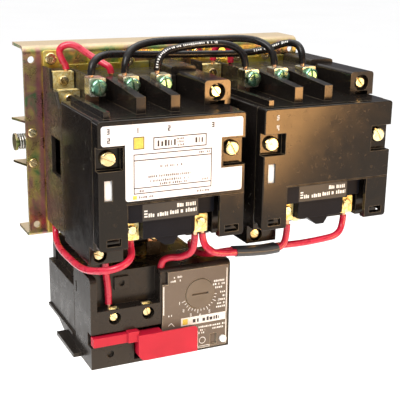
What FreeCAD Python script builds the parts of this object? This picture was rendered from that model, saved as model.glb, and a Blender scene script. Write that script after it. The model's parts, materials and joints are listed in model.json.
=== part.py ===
"""Reversing magnetic motor starter: two three-pole contactors side by side on one channel plate,
a spring-loaded mechanical interlock behind the plate, an electronic overload relay under the
left contactor, and the jumper wires between them.

Frame: millimetres, +X to the right, +Z up, the front faces -Y. The origin is the centre of the
channel plate's back face, which is also the centre of its four fixing holes.
Each contactor, and the overload relay, is drawn in the contactor's own frame: x from the cover's
left edge, y from the cover's front face backwards, z from the cover's lower edge upwards.
"""
import FreeCAD, Part
import math
import os

Vector = FreeCAD.Vector
X_AXIS = Vector(1, 0, 0)
Y_AXIS = Vector(0, 1, 0)
Z_AXIS = Vector(0, 0, 1)

# ---- channel plate ----
PLATE_WIDTH = 197.0
PLATE_HEIGHT = 125.0
SHEET = 2.0
FLANGE_DEPTH = 25.0
BEND_RADIUS = 3.0
FIXING_SPAN_X = 187.0
FIXING_SPAN_Z = 108.0
FIXING_HOLE_R = 2.2
STRIP_X = -94.5
RIVET_Z = 7.6
STRIP_SCREW_Z = -12.2

STRIP_SCREW_SHANK = 1.6
EAR_X = (-92.6, -91.1)
BRACKET_Z = (-23.0, 16.0)
GUIDE_EAR_REACH = 16.0
SLIDE_Y = 9.0
SLIDE_ROD_R = 2.5
SLIDE_TIP_X = -102.2
SLIDE_HEAD_R = 5.6
INTERLOCK_SPRING_R = 4.6
INTERLOCK_SPRING_WIRE = 0.65

# ---- one contactor, in its own frame ----
WIDTH = 90.0
COVER_HEIGHT = 74.0
COVER_WALL = 2.5
COVER_SIDE = 10.0
HOUSING_BACK = 66.0
BASE_FRONT = 105.5
DEPTH = 108.0
HOUSING_BOTTOM = -13.5
REAR_BOTTOM = -11.0
REAR_TOP = 86.0
DECK = 71.0
LIP_FRONT = 5.4
WALL = 2.5
POLE_X = (17.5, 38.5, 59.5)
BARRIERS = ((5.6, 3.4, 6.0, 78.0, 77.6), (27.4, 5.6, 13.4, 83.5, 87.5), (48.4, 5.6, 13.4, 83.5, 87.5))
LOAD_X = (6.4, 30.0, 51.0)
LOAD_Y = (28.0, 47.0, 47.0)
LOAD_Z = (-8.4, -9.4, -9.4)
LOAD_BACKED_OUT = (5.0, 0.0, 0.0)
LEG_X = (20.5, 74.0)
FLOOR_BOTTOM = -5.4
LINE_SCREW_Z = 84.0
LINE_SCREW_Y = 46.0
LINE_SCREW_R = 4.9
CLAMP_TOP = 89.5

# ---- its cover, as seen from the front ----
SCREW_NOTCH = (46.0, 59.0)
SCREW_NOTCH_RIGHT = (43.0, 59.0)
SCREW_NOTCH_W = 14.5
COVER_SCREW_Z = 52.4
COVER_SCREW_X = (6.9, 82.6)
COVER_SCREW_R = 4.6
NOTCH_FLOOR = 5.0
COIL_NOTCH_X = (17.0, 74.0)
COIL_NOTCH_TOP = 25.6
INDICATOR_X = (3.4, 8.1)
INDICATOR_Z = (29.3, 40.9)
PLATE_LABEL_T = 0.4
LABEL_OUTLINE = ((1.8, 71.4), (87.6, 71.4), (87.6, 60.2), (74.0, 60.2), (74.0, 42.0), (87.6, 42.0),
                 (87.6, 28.0), (15.6, 28.0), (15.6, 60.2), (1.8, 60.2))

# ---- its rear moulding, add-on block and steel foot ----
AUX_STEPS = ((66.0, 74.0), (71.5, 68.0), (78.8, 77.6), (89.4, 78.2), (90.4, 90.0), (BASE_FRONT, 90.0))
AUX_X = (1.8, 16.2)
AUX_WALL = 1.6
BLOCK_X = (74.8, 91.8)
BLOCK_Y = (24.7, 69.6)
BLOCK_TOP = 88.7
BLOCK_SCREW_Z = 81.6
BLOCK_SCREW_X = 83.0
BASE_RIVETS = ((5.4, 94.3), (35.0, 91.0), (57.0, 91.0), (66.0, -15.5))
BASE_RIVET_SHANK = 2.0

# ---- magnet and contacts ----
COIL_X = 44.0
COIL_HALF = 16.0
COIL_BACK = 60.0
COIL_TOP = 26.0
COIL_BOTTOM = 3.8
COIL_TERMINAL_OFFSET = 21.7
COIL_TERMINAL_W = 9.0
COIL_TERMINAL_Z = (2.0, 13.0)
STACK_Y = (34.5, 49.5)
CORE_TOP = 20.0
AIR_GAP = 5.3
ARMATURE_BAR = (31.0, 39.0)
CARRIER_TOP = 66.0
BRIDGE_Z = 52.0
FIXED_CONTACT_Z = 44.8
CONTACT_SHEET = 1.5
YOKE_TOP = 3.2
YOKE_BOTTOM = -2.0

COIL_SCREW_Z = 8.4
COIL_TERMINAL_Y = (8.5, 13.5)
CARRIER_Y = (38.0, 46.0)

# ---- where the contactors stand on the plate ----
FRONT_Y = -110.0
COVER_Z = -39.7
LEFT_X = -87.1
RIGHT_X = 15.0

# ---- overload relay, in the left contactor's frame ----
OL_WIDTH = 91.0
OL_FRONT = 18.0
OL_STEP_Y = 50.0
OL_BACK = 105.0
OL_TOP = -22.5
OL_REAR_TOP = -37.5
OL_BOTTOM = -80.0
OL_REAR_BOTTOM = -71.0
SHELF_TOP = -43.5
RECESS_RIGHT = 44.0
OL_TERMINAL_X = (15.1, 36.4)
OL_TERMINAL_Z = -49.1
DIAL_X = 70.0
DIAL_Z = -41.2
DIAL_R = 9.4
BUTTON_X = 86.2
BUTTON_Z = -74.0
LEVER_Z = (-64.6, -59.0)
LEVER_FRONT = 12.4
FACEPLATE_STEP_Z = -62.8
FACEPLATE_Y = OL_FRONT - 1.0
LEVER_BACK = 20.4
RESET_SPRING = (40.5, -67.5)
RESET_SPRING_SEAT = 29.5
BUTTON_R = 2.2
STRAP_T = 1.5
STRAP_FOOT = -61.8
BOARD_Y = (33.0, 34.6)

# ---- wires, in the plate's frame; each route is the corners its bends are rounded from ----
WIRE_D = 4.2
JUMPER_D = 4.6
WIRE_Y = FRONT_Y + 11.0
COIL_WIRE_Z = COVER_Z + COIL_TERMINAL_Z[0]
LINK_HOLE = (-40.8, -87.0)
LINK_DEPTH = 4.0
LINE_WIRE_Y = FRONT_Y + 55.0
LINE_WIRE_Z = COVER_Z + CLAMP_TOP
LEFT_ENDS = [LEFT_X + x - 2.4 for x in POLE_X]
RIGHT_ENDS = [RIGHT_X + x - 2.4 for x in POLE_X]
LEFT_COIL = LEFT_X + COIL_X
RIGHT_COIL = RIGHT_X + COIL_X
AUX_TOP = COVER_Z + 76.9 + 11.2
REAR_TOP_Z = COVER_Z + REAR_TOP
HOUSING_FLOOR = COVER_Z + HOUSING_BOTTOM

SLEEVE_WALL = 0.55
SLEEVE_INSET = 2.0
SLEEVE_POINTS = ((0.5, -101.6, -53.9), (13.0, -101.0, -55.4), (24.5, -100.4, -56.3), (34.6, -100.0, -56.0))
SLEEVE_GAP = WIRE_D + 0.5
SLEEVE_REAR = tuple((x, y + SLEEVE_GAP, z) for x, y, z in SLEEVE_POINTS)

ROUTES = {
    "jumper_first_to_third": (
        (LEFT_ENDS[0], LINE_WIRE_Y, LINE_WIRE_Z), (LEFT_ENDS[0], LINE_WIRE_Y, 56.5),
        (-64.8, -49.6, 61.4), (-51.0, -40.6, 60.8), (-28.0, -33.0, 58.4), (8.0, -30.6, 57.0),
        (38.0, -31.0, 56.2), (56.0, -34.0, 58.0), (65.5, -40.0, 63.0), (71.0, -48.0, 64.0),
        (RIGHT_ENDS[2], LINE_WIRE_Y, 58.5), (RIGHT_ENDS[2], LINE_WIRE_Y, LINE_WIRE_Z)),
    "jumper_second": (
        (LEFT_ENDS[1], LINE_WIRE_Y, LINE_WIRE_Z), (LEFT_ENDS[1], LINE_WIRE_Y, 57.5),
        (-45.0, -49.5, 64.6), (-32.0, -42.5, 67.2), (-14.0, -38.4, 67.4), (14.0, -37.8, 66.8),
        (34.0, -40.0, 67.4), (45.5, -46.0, 66.0), (RIGHT_ENDS[1], LINE_WIRE_Y, 59.5),
        (RIGHT_ENDS[1], LINE_WIRE_Y, LINE_WIRE_Z)),
    "jumper_third_to_first": (
        (LEFT_ENDS[2], LINE_WIRE_Y, LINE_WIRE_Z), (LEFT_ENDS[2], LINE_WIRE_Y, 56.5),
        (-25.0, -53.0, 62.4), (-13.0, -51.0, 64.6), (5.0, -49.6, 65.8), (19.0, -50.2, 65.6),
        (27.0, -52.8, 61.8), (RIGHT_ENDS[0], LINE_WIRE_Y, 55.8),
        (RIGHT_ENDS[0], LINE_WIRE_Y, LINE_WIRE_Z)),
    "holding_circuit_wire": (
        (-75.4, -17.1, AUX_TOP), (-75.4, -17.1, 51.6), (-77.6, -17.0, 54.4), (-80.4, -16.3, 62.4),
        (-71.8, -18.9, 65.8), (-62.6, -24.6, 58.4), (-55.4, -31.0, 53.6), (-52.0, -34.0, 51.4),
        (-52.0, -34.0, REAR_TOP_Z)),
    "lower_left_wire": (
        (-84.2, -13.0, COVER_Z + REAR_BOTTOM), (-84.2, -13.0, -56.4), (-86.2, -21.0, -60.4),
        (-88.4, -37.0, -60.8), (-89.6, -62.0, -59.0), (-89.4, -84.0, -57.6), (-87.0, -100.0, -54.0),
        (-80.0, -109.0, -51.2), (-71.0, -109.4, -48.6), (-65.6, -104.4, -45.6),
        (LEFT_COIL - COIL_TERMINAL_OFFSET, WIRE_Y, COIL_WIRE_Z - 3.6),
        (LEFT_COIL - COIL_TERMINAL_OFFSET, WIRE_Y, COIL_WIRE_Z)),
    "overload_control_wire": (
        (-74.2, FRONT_Y + 23.2, COVER_Z + SHELF_TOP), (-74.2, FRONT_Y + 23.2, -71.0),
        (-75.6, -86.2, -61.6), (-75.6, -86.2, HOUSING_FLOOR)),
    "coil_link_rear": (
        (LEFT_COIL + COIL_TERMINAL_OFFSET - 2.4, WIRE_Y, COIL_WIRE_Z),
        (LEFT_COIL + COIL_TERMINAL_OFFSET - 2.4, WIRE_Y, -44.6), (-25.2, -98.2, -51.6),
        (-30.4, -93.0, -55.6), (-36.8, -89.0, -55.8), LINK_HOLE + (-59.2,),
        LINK_HOLE + (COVER_Z + OL_TOP - LINK_DEPTH,)),
    "coil_link_front": (
        (LEFT_COIL + COIL_TERMINAL_OFFSET + 2.4, WIRE_Y, COIL_WIRE_Z),
        (LEFT_COIL + COIL_TERMINAL_OFFSET + 2.4, WIRE_Y, -44.6), (-15.8, -102.6, -50.4),
        (-9.0, -102.4, -53.0)) + SLEEVE_POINTS + (
        (RIGHT_COIL - COIL_TERMINAL_OFFSET + 2.2, WIRE_Y, -51.0),
        (RIGHT_COIL - COIL_TERMINAL_OFFSET + 2.2, WIRE_Y, COIL_WIRE_Z)),
    "interlock_control_wire": (
        (-14.0, -71.6, HOUSING_FLOOR), (-14.0, -71.6, -56.7), (-13.1, -74.35, -59.9),
        (-9.8, -83.6, -59.8)) + SLEEVE_REAR + (
        (50.0, -97.0, -56.0), (63.0, -101.4, -53.6), (74.4, -103.0, -51.8),
        (RIGHT_COIL + COIL_TERMINAL_OFFSET, WIRE_Y, -46.4),
        (RIGHT_COIL + COIL_TERMINAL_OFFSET, WIRE_Y, COIL_WIRE_Z)),
    "top_control_wire": (
        (25.6, -17.1, AUX_TOP), (25.6, -17.1, 55.0), (28.2, -18.2, 61.2), (34.0, -20.6, 61.2),
        (36.6, -21.8, 55.0), (36.6, -21.8, REAR_TOP_Z)),
}


def box(x, y, z):
    """A box from three (low, high) pairs."""
    return Part.makeBox(x[1] - x[0], y[1] - y[0], z[1] - z[0], Vector(x[0], y[0], z[0]))


def rod(x, y, z, radius, length, axis=Y_AXIS):
    """A round bar that starts at x, y, z and runs along axis."""
    return Part.makeCylinder(radius, length, Vector(x, y, z), axis)


def joined(shapes):
    """One solid from pieces that touch or overlap."""
    shapes = list(shapes)
    if len(shapes) == 1:
        return shapes[0]
    return shapes[0].multiFuse(shapes[1:]).removeSplitter()


def without(shape, tools):
    """The shape with every tool cut away."""
    return shape.cut(list(tools)).removeSplitter()


def edges_along(shape, axis, test=lambda middle: True):
    """Straight edges parallel to axis whose middle passes the test."""
    found = []
    for edge in shape.Edges:
        if edge.Curve.TypeId != "Part::GeomLine":
            continue
        run = edge.Vertexes[-1].Point - edge.Vertexes[0].Point
        if run.Length < 1e-6 or abs(run.normalize().dot(axis)) < 0.999:
            continue
        if test(edge.CenterOfMass):
            found.append(edge)
    return found


def rounded(shape, radius, axis, test=lambda middle: True):
    """The shape with its edges along axis rounded."""
    return shape.makeFillet(radius, edges_along(shape, axis, test))


def screw(x, y, z, head_r, head_h, shank_r, shank_l, slot=0.0, axis=Y_AXIS):
    """A slotted pan-head screw whose head's outer face stands at x, y, z; the shank follows axis."""
    head = rod(x, y, z, head_r, head_h, axis)
    rim = [e for e in head.Edges if e.Curve.TypeId == "Part::GeomCircle"]
    rim = [e for e in rim if (e.CenterOfMass - Vector(x, y, z)).Length < 1e-6]
    head = head.makeFillet(head_h * 0.45, rim)
    body = head.fuse(rod(x + axis.x * head_h, y + axis.y * head_h, z + axis.z * head_h,
                         shank_r, shank_l, axis))
    slot_w = head_r * 0.22
    if axis.y:
        cut = box((-head_r - 1, head_r + 1), (-head_h * 0.4, head_h * 0.4), (-slot_w / 2, slot_w / 2))
        cut.rotate(Vector(0, 0, 0), Y_AXIS, slot)
    else:
        cut = box((-head_r - 1, head_r + 1), (-slot_w / 2, slot_w / 2), (-head_h * 0.4, head_h * 0.4))
        cut.rotate(Vector(0, 0, 0), axis, slot)
    cut.translate(Vector(x, y, z))
    return body.cut(cut)


def helix_spring(x, y, z, coil_r, wire_r, length, turns, axis=Z_AXIS):
    """A round-wire coil spring that starts at x, y, z and runs along axis."""
    pitch = (length - 2 * wire_r) / turns
    path = Part.makeHelix(pitch, pitch * turns, coil_r)
    slope = math.atan2(pitch, 2 * math.pi * coil_r)
    start = Vector(coil_r, 0, 0)
    profile = Part.Wire([Part.makeCircle(wire_r, start, Vector(0, math.cos(slope), math.sin(slope)))])
    coil = Part.Wire(path).makePipeShell([profile], True, True)
    coil.translate(Vector(0, 0, wire_r))
    if axis.x:
        coil.rotate(Vector(0, 0, 0), Y_AXIS, 90)
    coil.translate(Vector(x, y, z))
    return coil


def moved(shape, x_offset):
    """A copy of a shape from the contactor's frame, placed on the plate."""
    copy = shape.copy()
    copy.translate(Vector(x_offset, FRONT_Y, COVER_Z))
    return copy


def group(shapes):
    """Separate solids that share one node."""
    return Part.makeCompound(list(shapes))


def save(name, shape):
    """One STEP file a node, with its volume printed."""
    os.makedirs("parts", exist_ok=True)
    shape.exportStep("parts/" + name + ".step")
    ok = shape.isValid() and all(s.Volume > 0 for s in shape.Solids)
    print(name, "solids", len(shape.Solids), "volume", round(shape.Volume), "" if ok else "BAD")


# ---------------------------------------------------------------- channel plate and interlock

def channel_plate():
    """A folded steel channel: a flat web and two flanges that point back to the wall."""
    half_w = PLATE_WIDTH / 2
    half_h = PLATE_HEIGHT / 2
    outer = box((-half_w, half_w), (-SHEET, FLANGE_DEPTH), (-half_h, half_h))
    outer = rounded(outer, BEND_RADIUS + SHEET, X_AXIS, lambda m: m.y < 0)
    inner = box((-half_w - 1, half_w + 1), (0, FLANGE_DEPTH + 1), (-half_h + SHEET, half_h - SHEET))
    inner = rounded(inner, BEND_RADIUS, X_AXIS, lambda m: m.y < 1)
    plate = outer.cut(inner)
    holes = []
    for sx in (-1, 1):
        for sz in (-1, 1):
            holes.append(rod(sx * FIXING_SPAN_X / 2, -SHEET - 1, sz * FIXING_SPAN_Z / 2,
                             FIXING_HOLE_R, SHEET + 2))
    for z in (RIVET_Z, STRIP_SCREW_Z):
        holes.append(rod(STRIP_X, -SHEET - 1, z, STRIP_SCREW_SHANK, SHEET + 2))
    for left in (LEFT_X, RIGHT_X):
        for x, z in BASE_RIVETS:
            holes.append(rod(left + x, -SHEET - 1, COVER_Z + z, BASE_RIVET_SHANK, SHEET + 2))
    return without(plate, holes)


def interlock_bracket():
    """A sheet bracket behind the plate's left edge: a foot, an ear for the rod and two guide ears."""
    foot = box((-98.0, EAR_X[1]), (0, 1.5), BRACKET_Z)
    ear = box(EAR_X, (0, 17.0), (-13.5, 13.5))
    upper = Part.Face(Part.makePolygon([Vector(-91.1, 0, 13.5), Vector(-91.1, GUIDE_EAR_REACH, 13.5),
                                        Vector(-103.0, GUIDE_EAR_REACH, 13.5), Vector(-98.0, 0, 13.5),
                                        Vector(-91.1, 0, 13.5)])).extrude(Vector(0, 0, 1.5))
    lower = upper.copy()
    lower.translate(Vector(0, 0, -28.5))
    bracket = joined([foot, ear, upper, lower])
    holes = [rod(EAR_X[0] - 1, SLIDE_Y, 0, SLIDE_ROD_R + 0.05, 4, X_AXIS)]
    for z in (RIVET_Z, STRIP_SCREW_Z):
        holes.append(rod(STRIP_X, -1, z, STRIP_SCREW_SHANK, 4))
    return without(bracket, holes)


def interlock_slide():
    """The bar that blocks one contactor while the other is closed, with its spring rod and head."""
    bar = box((-89.0, 88.0), (SLIDE_Y - 1.5, SLIDE_Y + 1.5), (-6.5, 6.5))
    slots = []
    for x in (LEFT_X + 45, RIGHT_X + 45):
        slots.append(box((x - 5, x + 5), (SLIDE_Y - 3, SLIDE_Y + 3), (0.5, 8)))
    bar = without(bar, slots)
    shank = rod(SLIDE_TIP_X, SLIDE_Y, 0, SLIDE_ROD_R, -89.0 - SLIDE_TIP_X, X_AXIS)
    head = rod(SLIDE_TIP_X - 1.4, SLIDE_Y, 0, SLIDE_HEAD_R, 1.4, X_AXIS)
    return joined([bar, shank, head])


def interlock_guide():
    """A strap that holds the bar's right-hand part against the back of the plate."""
    outer = box((60, 72), (0, SLIDE_Y + 3.5), (-9.0, 9.0))
    inner = box((59, 73), (-1, SLIDE_Y + 1.9), (-7.0, 7.0))
    feet = box((60, 72), (0, 1.5), (-17.0, 17.0))
    return joined([outer.cut(inner), feet.cut(inner)])


# ---------------------------------------------------------------- contactor: covers and housings


def front_cover():
    """A thin moulded shell: front wall, side skirts, screw pockets and the opening for the coil."""
    shell = box((0, WIDTH), (0, COVER_SIDE), (0, COVER_HEIGHT))
    shell = rounded(shell, 2.0, Y_AXIS)
    shell = shell.makeFillet(0.7, [e for e in shell.Edges if e.BoundBox.YMax < 0.001])
    hollow = box((COVER_WALL, WIDTH - COVER_WALL), (COVER_WALL, COVER_SIDE + 1),
                 (COVER_WALL, COVER_HEIGHT - COVER_WALL))
    top_cut = box((COVER_WALL, WIDTH - COVER_WALL), (NOTCH_FLOOR, COVER_SIDE + 1),
                  (COVER_HEIGHT - 3.1, COVER_HEIGHT + 1))
    bottom_cut = box((-1, WIDTH + 1), (NOTCH_FLOOR, COVER_SIDE + 1), (-1, 3.0))
    coil_cut = box(COIL_NOTCH_X, (-1, COVER_SIDE + 1), (-1, COIL_NOTCH_TOP))
    cover = without(shell, [hollow, top_cut, bottom_cut, coil_cut])
    left_pocket = box((0, SCREW_NOTCH_W), (0, COVER_SIDE), SCREW_NOTCH)
    right_pocket = box((WIDTH - SCREW_NOTCH_W, WIDTH), (0, COVER_SIDE), SCREW_NOTCH_RIGHT)
    pockets = []
    for pocket in (left_pocket, right_pocket):
        bound = pocket.BoundBox
        wall = box((max(bound.XMin - 2, 0), min(bound.XMax + 2, WIDTH)), (0.7, COVER_SIDE),
                   (bound.ZMin - 2, bound.ZMax + 2))
        pockets.append(wall)
    cover = joined([cover] + pockets)
    cuts = []
    for pocket in (left_pocket, right_pocket):
        bound = pocket.BoundBox
        cuts.append(box((bound.XMin - 1 if bound.XMin < 1 else bound.XMin,
                         bound.XMax + 1 if bound.XMax > WIDTH - 1 else bound.XMax),
                        (-1, NOTCH_FLOOR), (bound.ZMin, bound.ZMax)))
    for x in COVER_SCREW_X:
        cuts.append(rod(x, 0, COVER_SCREW_Z, 2.1, COVER_SIDE + 1))
    cuts.append(box(INDICATOR_X, (-1, COVER_SIDE), INDICATOR_Z))
    cuts.append(box((INDICATOR_X[0] - 0.5, INDICATOR_X[1] + 0.6), (1.0, COVER_SIDE), (23.4, 41.8)))
    for x in ((4.5, 13.0), (77.5, 86.5)):
        cuts.append(box(x, (-1, COVER_WALL + 1), (2.6, 6.8)))
    cover = without(cover, cuts)
    groove = box((SCREW_NOTCH_W + 2, WIDTH + 1), (-1, 0.6), (25.9, 26.5))
    return cover.cut(groove)


def nameplate():
    """The printed plate on the left cover, cut away round the two screw pockets."""
    points = [Vector(x, -PLATE_LABEL_T, z) for x, z in LABEL_OUTLINE]
    points.append(points[0])
    plate = Part.Face(Part.makePolygon(points)).extrude(Vector(0, PLATE_LABEL_T, 0))
    corners = ((1.8, 71.4), (87.6, 71.4), (87.6, 28.0), (15.6, 28.0), (1.8, 60.2))
    near = lambda m: any(abs(m.x - x) < 0.1 and abs(m.z - z) < 0.1 for x, z in corners)
    return rounded(plate, 1.6, Y_AXIS, near)


def contact_housing():
    """The front moulding: contact chamber, coil bay, terminal deck, barriers and load recess."""
    body = box((0, WIDTH), (COVER_SIDE, HOUSING_BACK), (HOUSING_BOTTOM, COVER_HEIGHT))
    body = rounded(body, 1.2, Y_AXIS, lambda m: m.z > 0)
    lip = box((COVER_WALL + 0.2, WIDTH - COVER_WALL - 0.2), (LIP_FRONT, COVER_SIDE),
              (DECK, COVER_HEIGHT))
    barriers = []
    for x, thickness, front, top, rear_top in BARRIERS:
        face = Part.Face(Part.makePolygon([
            Vector(x, front, COVER_HEIGHT - 1), Vector(x, front, top),
            Vector(x, HOUSING_BACK, rear_top), Vector(x, HOUSING_BACK, COVER_HEIGHT - 1),
            Vector(x, front, COVER_HEIGHT - 1)]))
        barriers.append(face.extrude(Vector(thickness, 0, 0)))
    body = joined([body, lip] + barriers)
    chamber = box((4, WIDTH - 4), (COVER_SIDE + WALL, HOUSING_BACK + 1), (27.5, DECK - 0.5))
    bay = box((6.5, WIDTH - 8.5), (33.0, HOUSING_BACK + 1), (YOKE_BOTTOM - 0.4, 28))
    coil_bay = box((COIL_X - COIL_HALF - 0.6, COIL_X + COIL_HALF + 0.6), (COVER_SIDE - 1, 34.0), (-2.2, 28))
    wing_bay = box((COIL_NOTCH_X[0], COIL_NOTCH_X[1]), (COVER_SIDE - 1, 34.0), (-2.2, COIL_NOTCH_TOP + 1))
    flag_slot = box((4.2, 7.2), (COVER_SIDE - 1, COVER_SIDE + WALL + 1), (27.4, 36.6))
    foot_notch = box((-1, WIDTH + 1), (COVER_SIDE - 1, 18.0), (HOUSING_BOTTOM - 1, -2.0))
    under_coil = box(LEG_X, (COVER_SIDE - 1, 33.0), (HOUSING_BOTTOM - 1, COIL_BOTTOM))
    under_yoke = box(LEG_X, (COVER_SIDE - 1, LOAD_Y[1] + STRAP_T + 0.2), (HOUSING_BOTTOM - 1, FLOOR_BOTTOM))
    under_right = box((LEG_X[1] - 1, WIDTH + 1), (COVER_SIDE - 1, LOAD_Y[1]), (HOUSING_BOTTOM - 1, -0.6))
    cuts = [chamber, bay, coil_bay, wing_bay, flag_slot, foot_notch, under_coil, under_yoke, under_right]
    for x in POLE_X:
        cuts.append(box((x - 4.2, x + 4.2), (59.9, 61.7), (DECK - 2, COVER_HEIGHT + 1)))
    for x, y, z in zip(LOAD_X, LOAD_Y, LOAD_Z):
        cuts.append(rod(x, y, z, 1.7, 5.0))
    cuts.append(rod(LOAD_X[0], COVER_SIDE, LOAD_Z[0], 4.2, LOAD_Y[0] - 0.2 - COVER_SIDE))
    cuts.append(box((LOAD_X[0] - 3.3, LOAD_X[0] + 3.3), (LOAD_Y[0] - 0.2, LOAD_Y[0] + STRAP_T + 0.3),
                    (HOUSING_BOTTOM - 1, -3.8)))
    for x in COVER_SCREW_X:
        cuts.append(rod(x, COVER_SIDE - 1, COVER_SCREW_Z, 1.9, 12))
    body = without(body, cuts)
    bosses = []
    for x in COVER_SCREW_X:
        low = 0 if x < 45 else WIDTH - 12
        boss = box((low, low + 12), (COVER_SIDE, COVER_SIDE + 14), (46.5, 58.5))
        bosses.append(boss.cut(rod(x, COVER_SIDE - 1, COVER_SCREW_Z, 1.9, 12)))
    return joined([body] + bosses)


def rear_housing():
    """The back moulding that stands on the steel base, with the stepped auxiliary terminal tower."""
    body = box((0, WIDTH), (HOUSING_BACK, BASE_FRONT), (REAR_BOTTOM, REAR_TOP))
    cavity = box((WALL, WIDTH - WALL), (HOUSING_BACK - 1, BASE_FRONT - 3), (REAR_BOTTOM + WALL, DECK - 5))
    aux_bay = box((-1, AUX_X[1] + AUX_WALL), (HOUSING_BACK - 1, BASE_FRONT + 1), (64.0, 100.0))
    window = box((-1, WALL + 1), (71.0, 90.0), (25.0, 49.0))
    groove = box((-1, 0.8), (HOUSING_BACK - 1, HOUSING_BACK + 1.2), (REAR_BOTTOM - 1, 66.0))
    block_seat = box((74.3, 92.0), (HOUSING_BACK - 1, 69.9), (COVER_HEIGHT - 0.1, REAR_TOP + 1))
    body = without(body, [cavity, aux_bay, window, groove, block_seat])
    outline = [Vector(0, HOUSING_BACK, 63.0)]
    outline += [Vector(0, y, z) for y, z in AUX_STEPS]
    outline += [Vector(0, BASE_FRONT, 63.0), Vector(0, HOUSING_BACK, 63.0)]
    side = Part.Face(Part.makePolygon(outline)).extrude(Vector(AUX_WALL, 0, 0))
    floor = box((0, AUX_X[1] + AUX_WALL), (HOUSING_BACK, BASE_FRONT), (61.0, 67.2))
    lower_step = box((0, AUX_X[1] + AUX_WALL), (84.0, BASE_FRONT), (61.0, 76.8))
    upper_step = box((0, AUX_X[1] + AUX_WALL), (95.6, BASE_FRONT), (61.0, 88.4))
    right_wall = box((AUX_X[1] + 0.2, AUX_X[1] + AUX_WALL + 1), (HOUSING_BACK, BASE_FRONT),
                     (61.0, 88.4))
    cap = box((72.5, 90.0), (70.0, BASE_FRONT), (80.0, 91.0))
    cap = rounded(cap, 2.0, Y_AXIS, lambda m: m.z > 90)
    return joined([body, side, floor, lower_step, upper_step, right_wall, cap])


def interlock_block():
    """The add-on electrical interlock: a long box on the deck with a deep round screw recess."""
    block = box(BLOCK_X, BLOCK_Y, (COVER_HEIGHT, BLOCK_TOP))
    block = rounded(block, 2.2, Y_AXIS, lambda m: m.z > 80)
    under = box((78.5, 88.0), (BLOCK_Y[0] - 1, BLOCK_Y[0] + 5.0), (COVER_HEIGHT - 1, 76.4))
    recess = rod(BLOCK_SCREW_X, BLOCK_Y[0] - 1, BLOCK_SCREW_Z, 5.2, 5)
    core = rod(BLOCK_SCREW_X, BLOCK_Y[0], BLOCK_SCREW_Z, 1.75, 20)
    return without(block, [recess, core, under])


def base_plate():
    """The contactor's own steel foot, with a corner lug up left and one down right."""
    plate = box((0.8, 72.0), (BASE_FRONT, DEPTH), (-20.0, 90.0))
    lug = rounded(box((0.8, 11.0), (BASE_FRONT, DEPTH), (80.0, 99.2)), 1.5, Y_AXIS, lambda m: m.z > 90)
    foot = rounded(box((60.0, 72.0), (BASE_FRONT, DEPTH), (-22.0, 0)), 1.5, Y_AXIS, lambda m: m.z < -10)
    tabs = [box((x, x + 10), (BASE_FRONT, DEPTH), (85.0, 96.0)) for x in (30.0, 52.0)]
    plate = joined([plate, lug, foot] + tabs)
    return without(plate, [rod(x, BASE_FRONT - 1, z, BASE_RIVET_SHANK, 5) for x, z in BASE_RIVETS])


# ---------------------------------------------------------------- contactor: inside and terminals

def coil():
    """The moulded magnet coil: winding block with a bore, label bar, pointed tab and terminal wings."""
    left = COIL_X - COIL_HALF
    right = COIL_X + COIL_HALF
    body = box((left, right), (4.0, COIL_BACK), (COIL_BOTTOM, COIL_TOP))
    body = rounded(body, 1.5, Y_AXIS)
    face = box((left - 0.8, right - 3), (3.0, 12.0), (COIL_BOTTOM, 15.0))
    label = rounded(box((COIL_NOTCH_X[0] + 0.8, 61.5), (1.8, 14.0), (14.4, 25.2)), 0.6, Y_AXIS)
    corner = rounded(box((60.5, COIL_NOTCH_X[1] - 1.0), (6.0, 14.0), (14.4, 25.0)), 0.6, Y_AXIS)
    tab = Part.Face(Part.makePolygon([
        Vector(34.0, 4.0, COIL_BOTTOM + 1), Vector(34.0, 4.0, COIL_BOTTOM), Vector(41.0, 4.0, -1.6),
        Vector(46.5, 4.0, -1.6), Vector(50.0, 4.0, COIL_BOTTOM), Vector(50.0, 4.0, COIL_BOTTOM + 1),
        Vector(34.0, 4.0, COIL_BOTTOM + 1)])).extrude(Vector(0, 9.0, 0))
    wings = []
    for sign in (-1, 1):
        near = COIL_X + sign * (COIL_HALF - 1)
        far = COIL_X + sign * 26.5
        wings.append(box((min(near, far), max(near, far)), (COIL_TERMINAL_Y[1], 26.0), (0.0, 16.0)))
    body = joined([body, face, label, corner, tab] + wings)
    bore = box((COIL_X - 6, COIL_X + 6), (33.5, 50.5), (COIL_BOTTOM - 1, COIL_TOP + 1))
    pilot = [rod(COIL_X + sign * COIL_TERMINAL_OFFSET, 12, COIL_SCREW_Z, 1.4, 10) for sign in (-1, 1)]
    return without(body, [bore] + pilot)


def coil_terminals():
    """The two brass pressure clamps on the coil's wings."""
    clamps = []
    half = COIL_TERMINAL_W / 2
    for sign in (-1, 1):
        x = COIL_X + sign * COIL_TERMINAL_OFFSET
        clamp = box((x - half, x + half), COIL_TERMINAL_Y, COIL_TERMINAL_Z)
        clamp = rounded(clamp, 0.8, Y_AXIS)
        clamps.append(clamp.cut(rod(x, 0, COIL_SCREW_Z, 1.4, 20)))
    return clamps


def coil_screws():
    """The slotted screws of the coil's clamps."""
    return [screw(COIL_X + sign * COIL_TERMINAL_OFFSET, COIL_TERMINAL_Y[0] - 1.6, COIL_SCREW_Z,
                  2.8, 1.6, 1.4, 8.0, 35) for sign in (-1, 1)]


def magnet_core():
    """The fixed E-shaped lamination stack; its middle leg stands in the coil's bore."""
    yoke = box((8.0, 80.0), STACK_Y, (YOKE_BOTTOM, YOKE_TOP))
    legs = [box(x, STACK_Y, (YOKE_BOTTOM, CORE_TOP)) for x in ((8.0, 16.5), (39.0, 49.0), (71.5, 80.0))]
    return joined([yoke] + legs)


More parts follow.
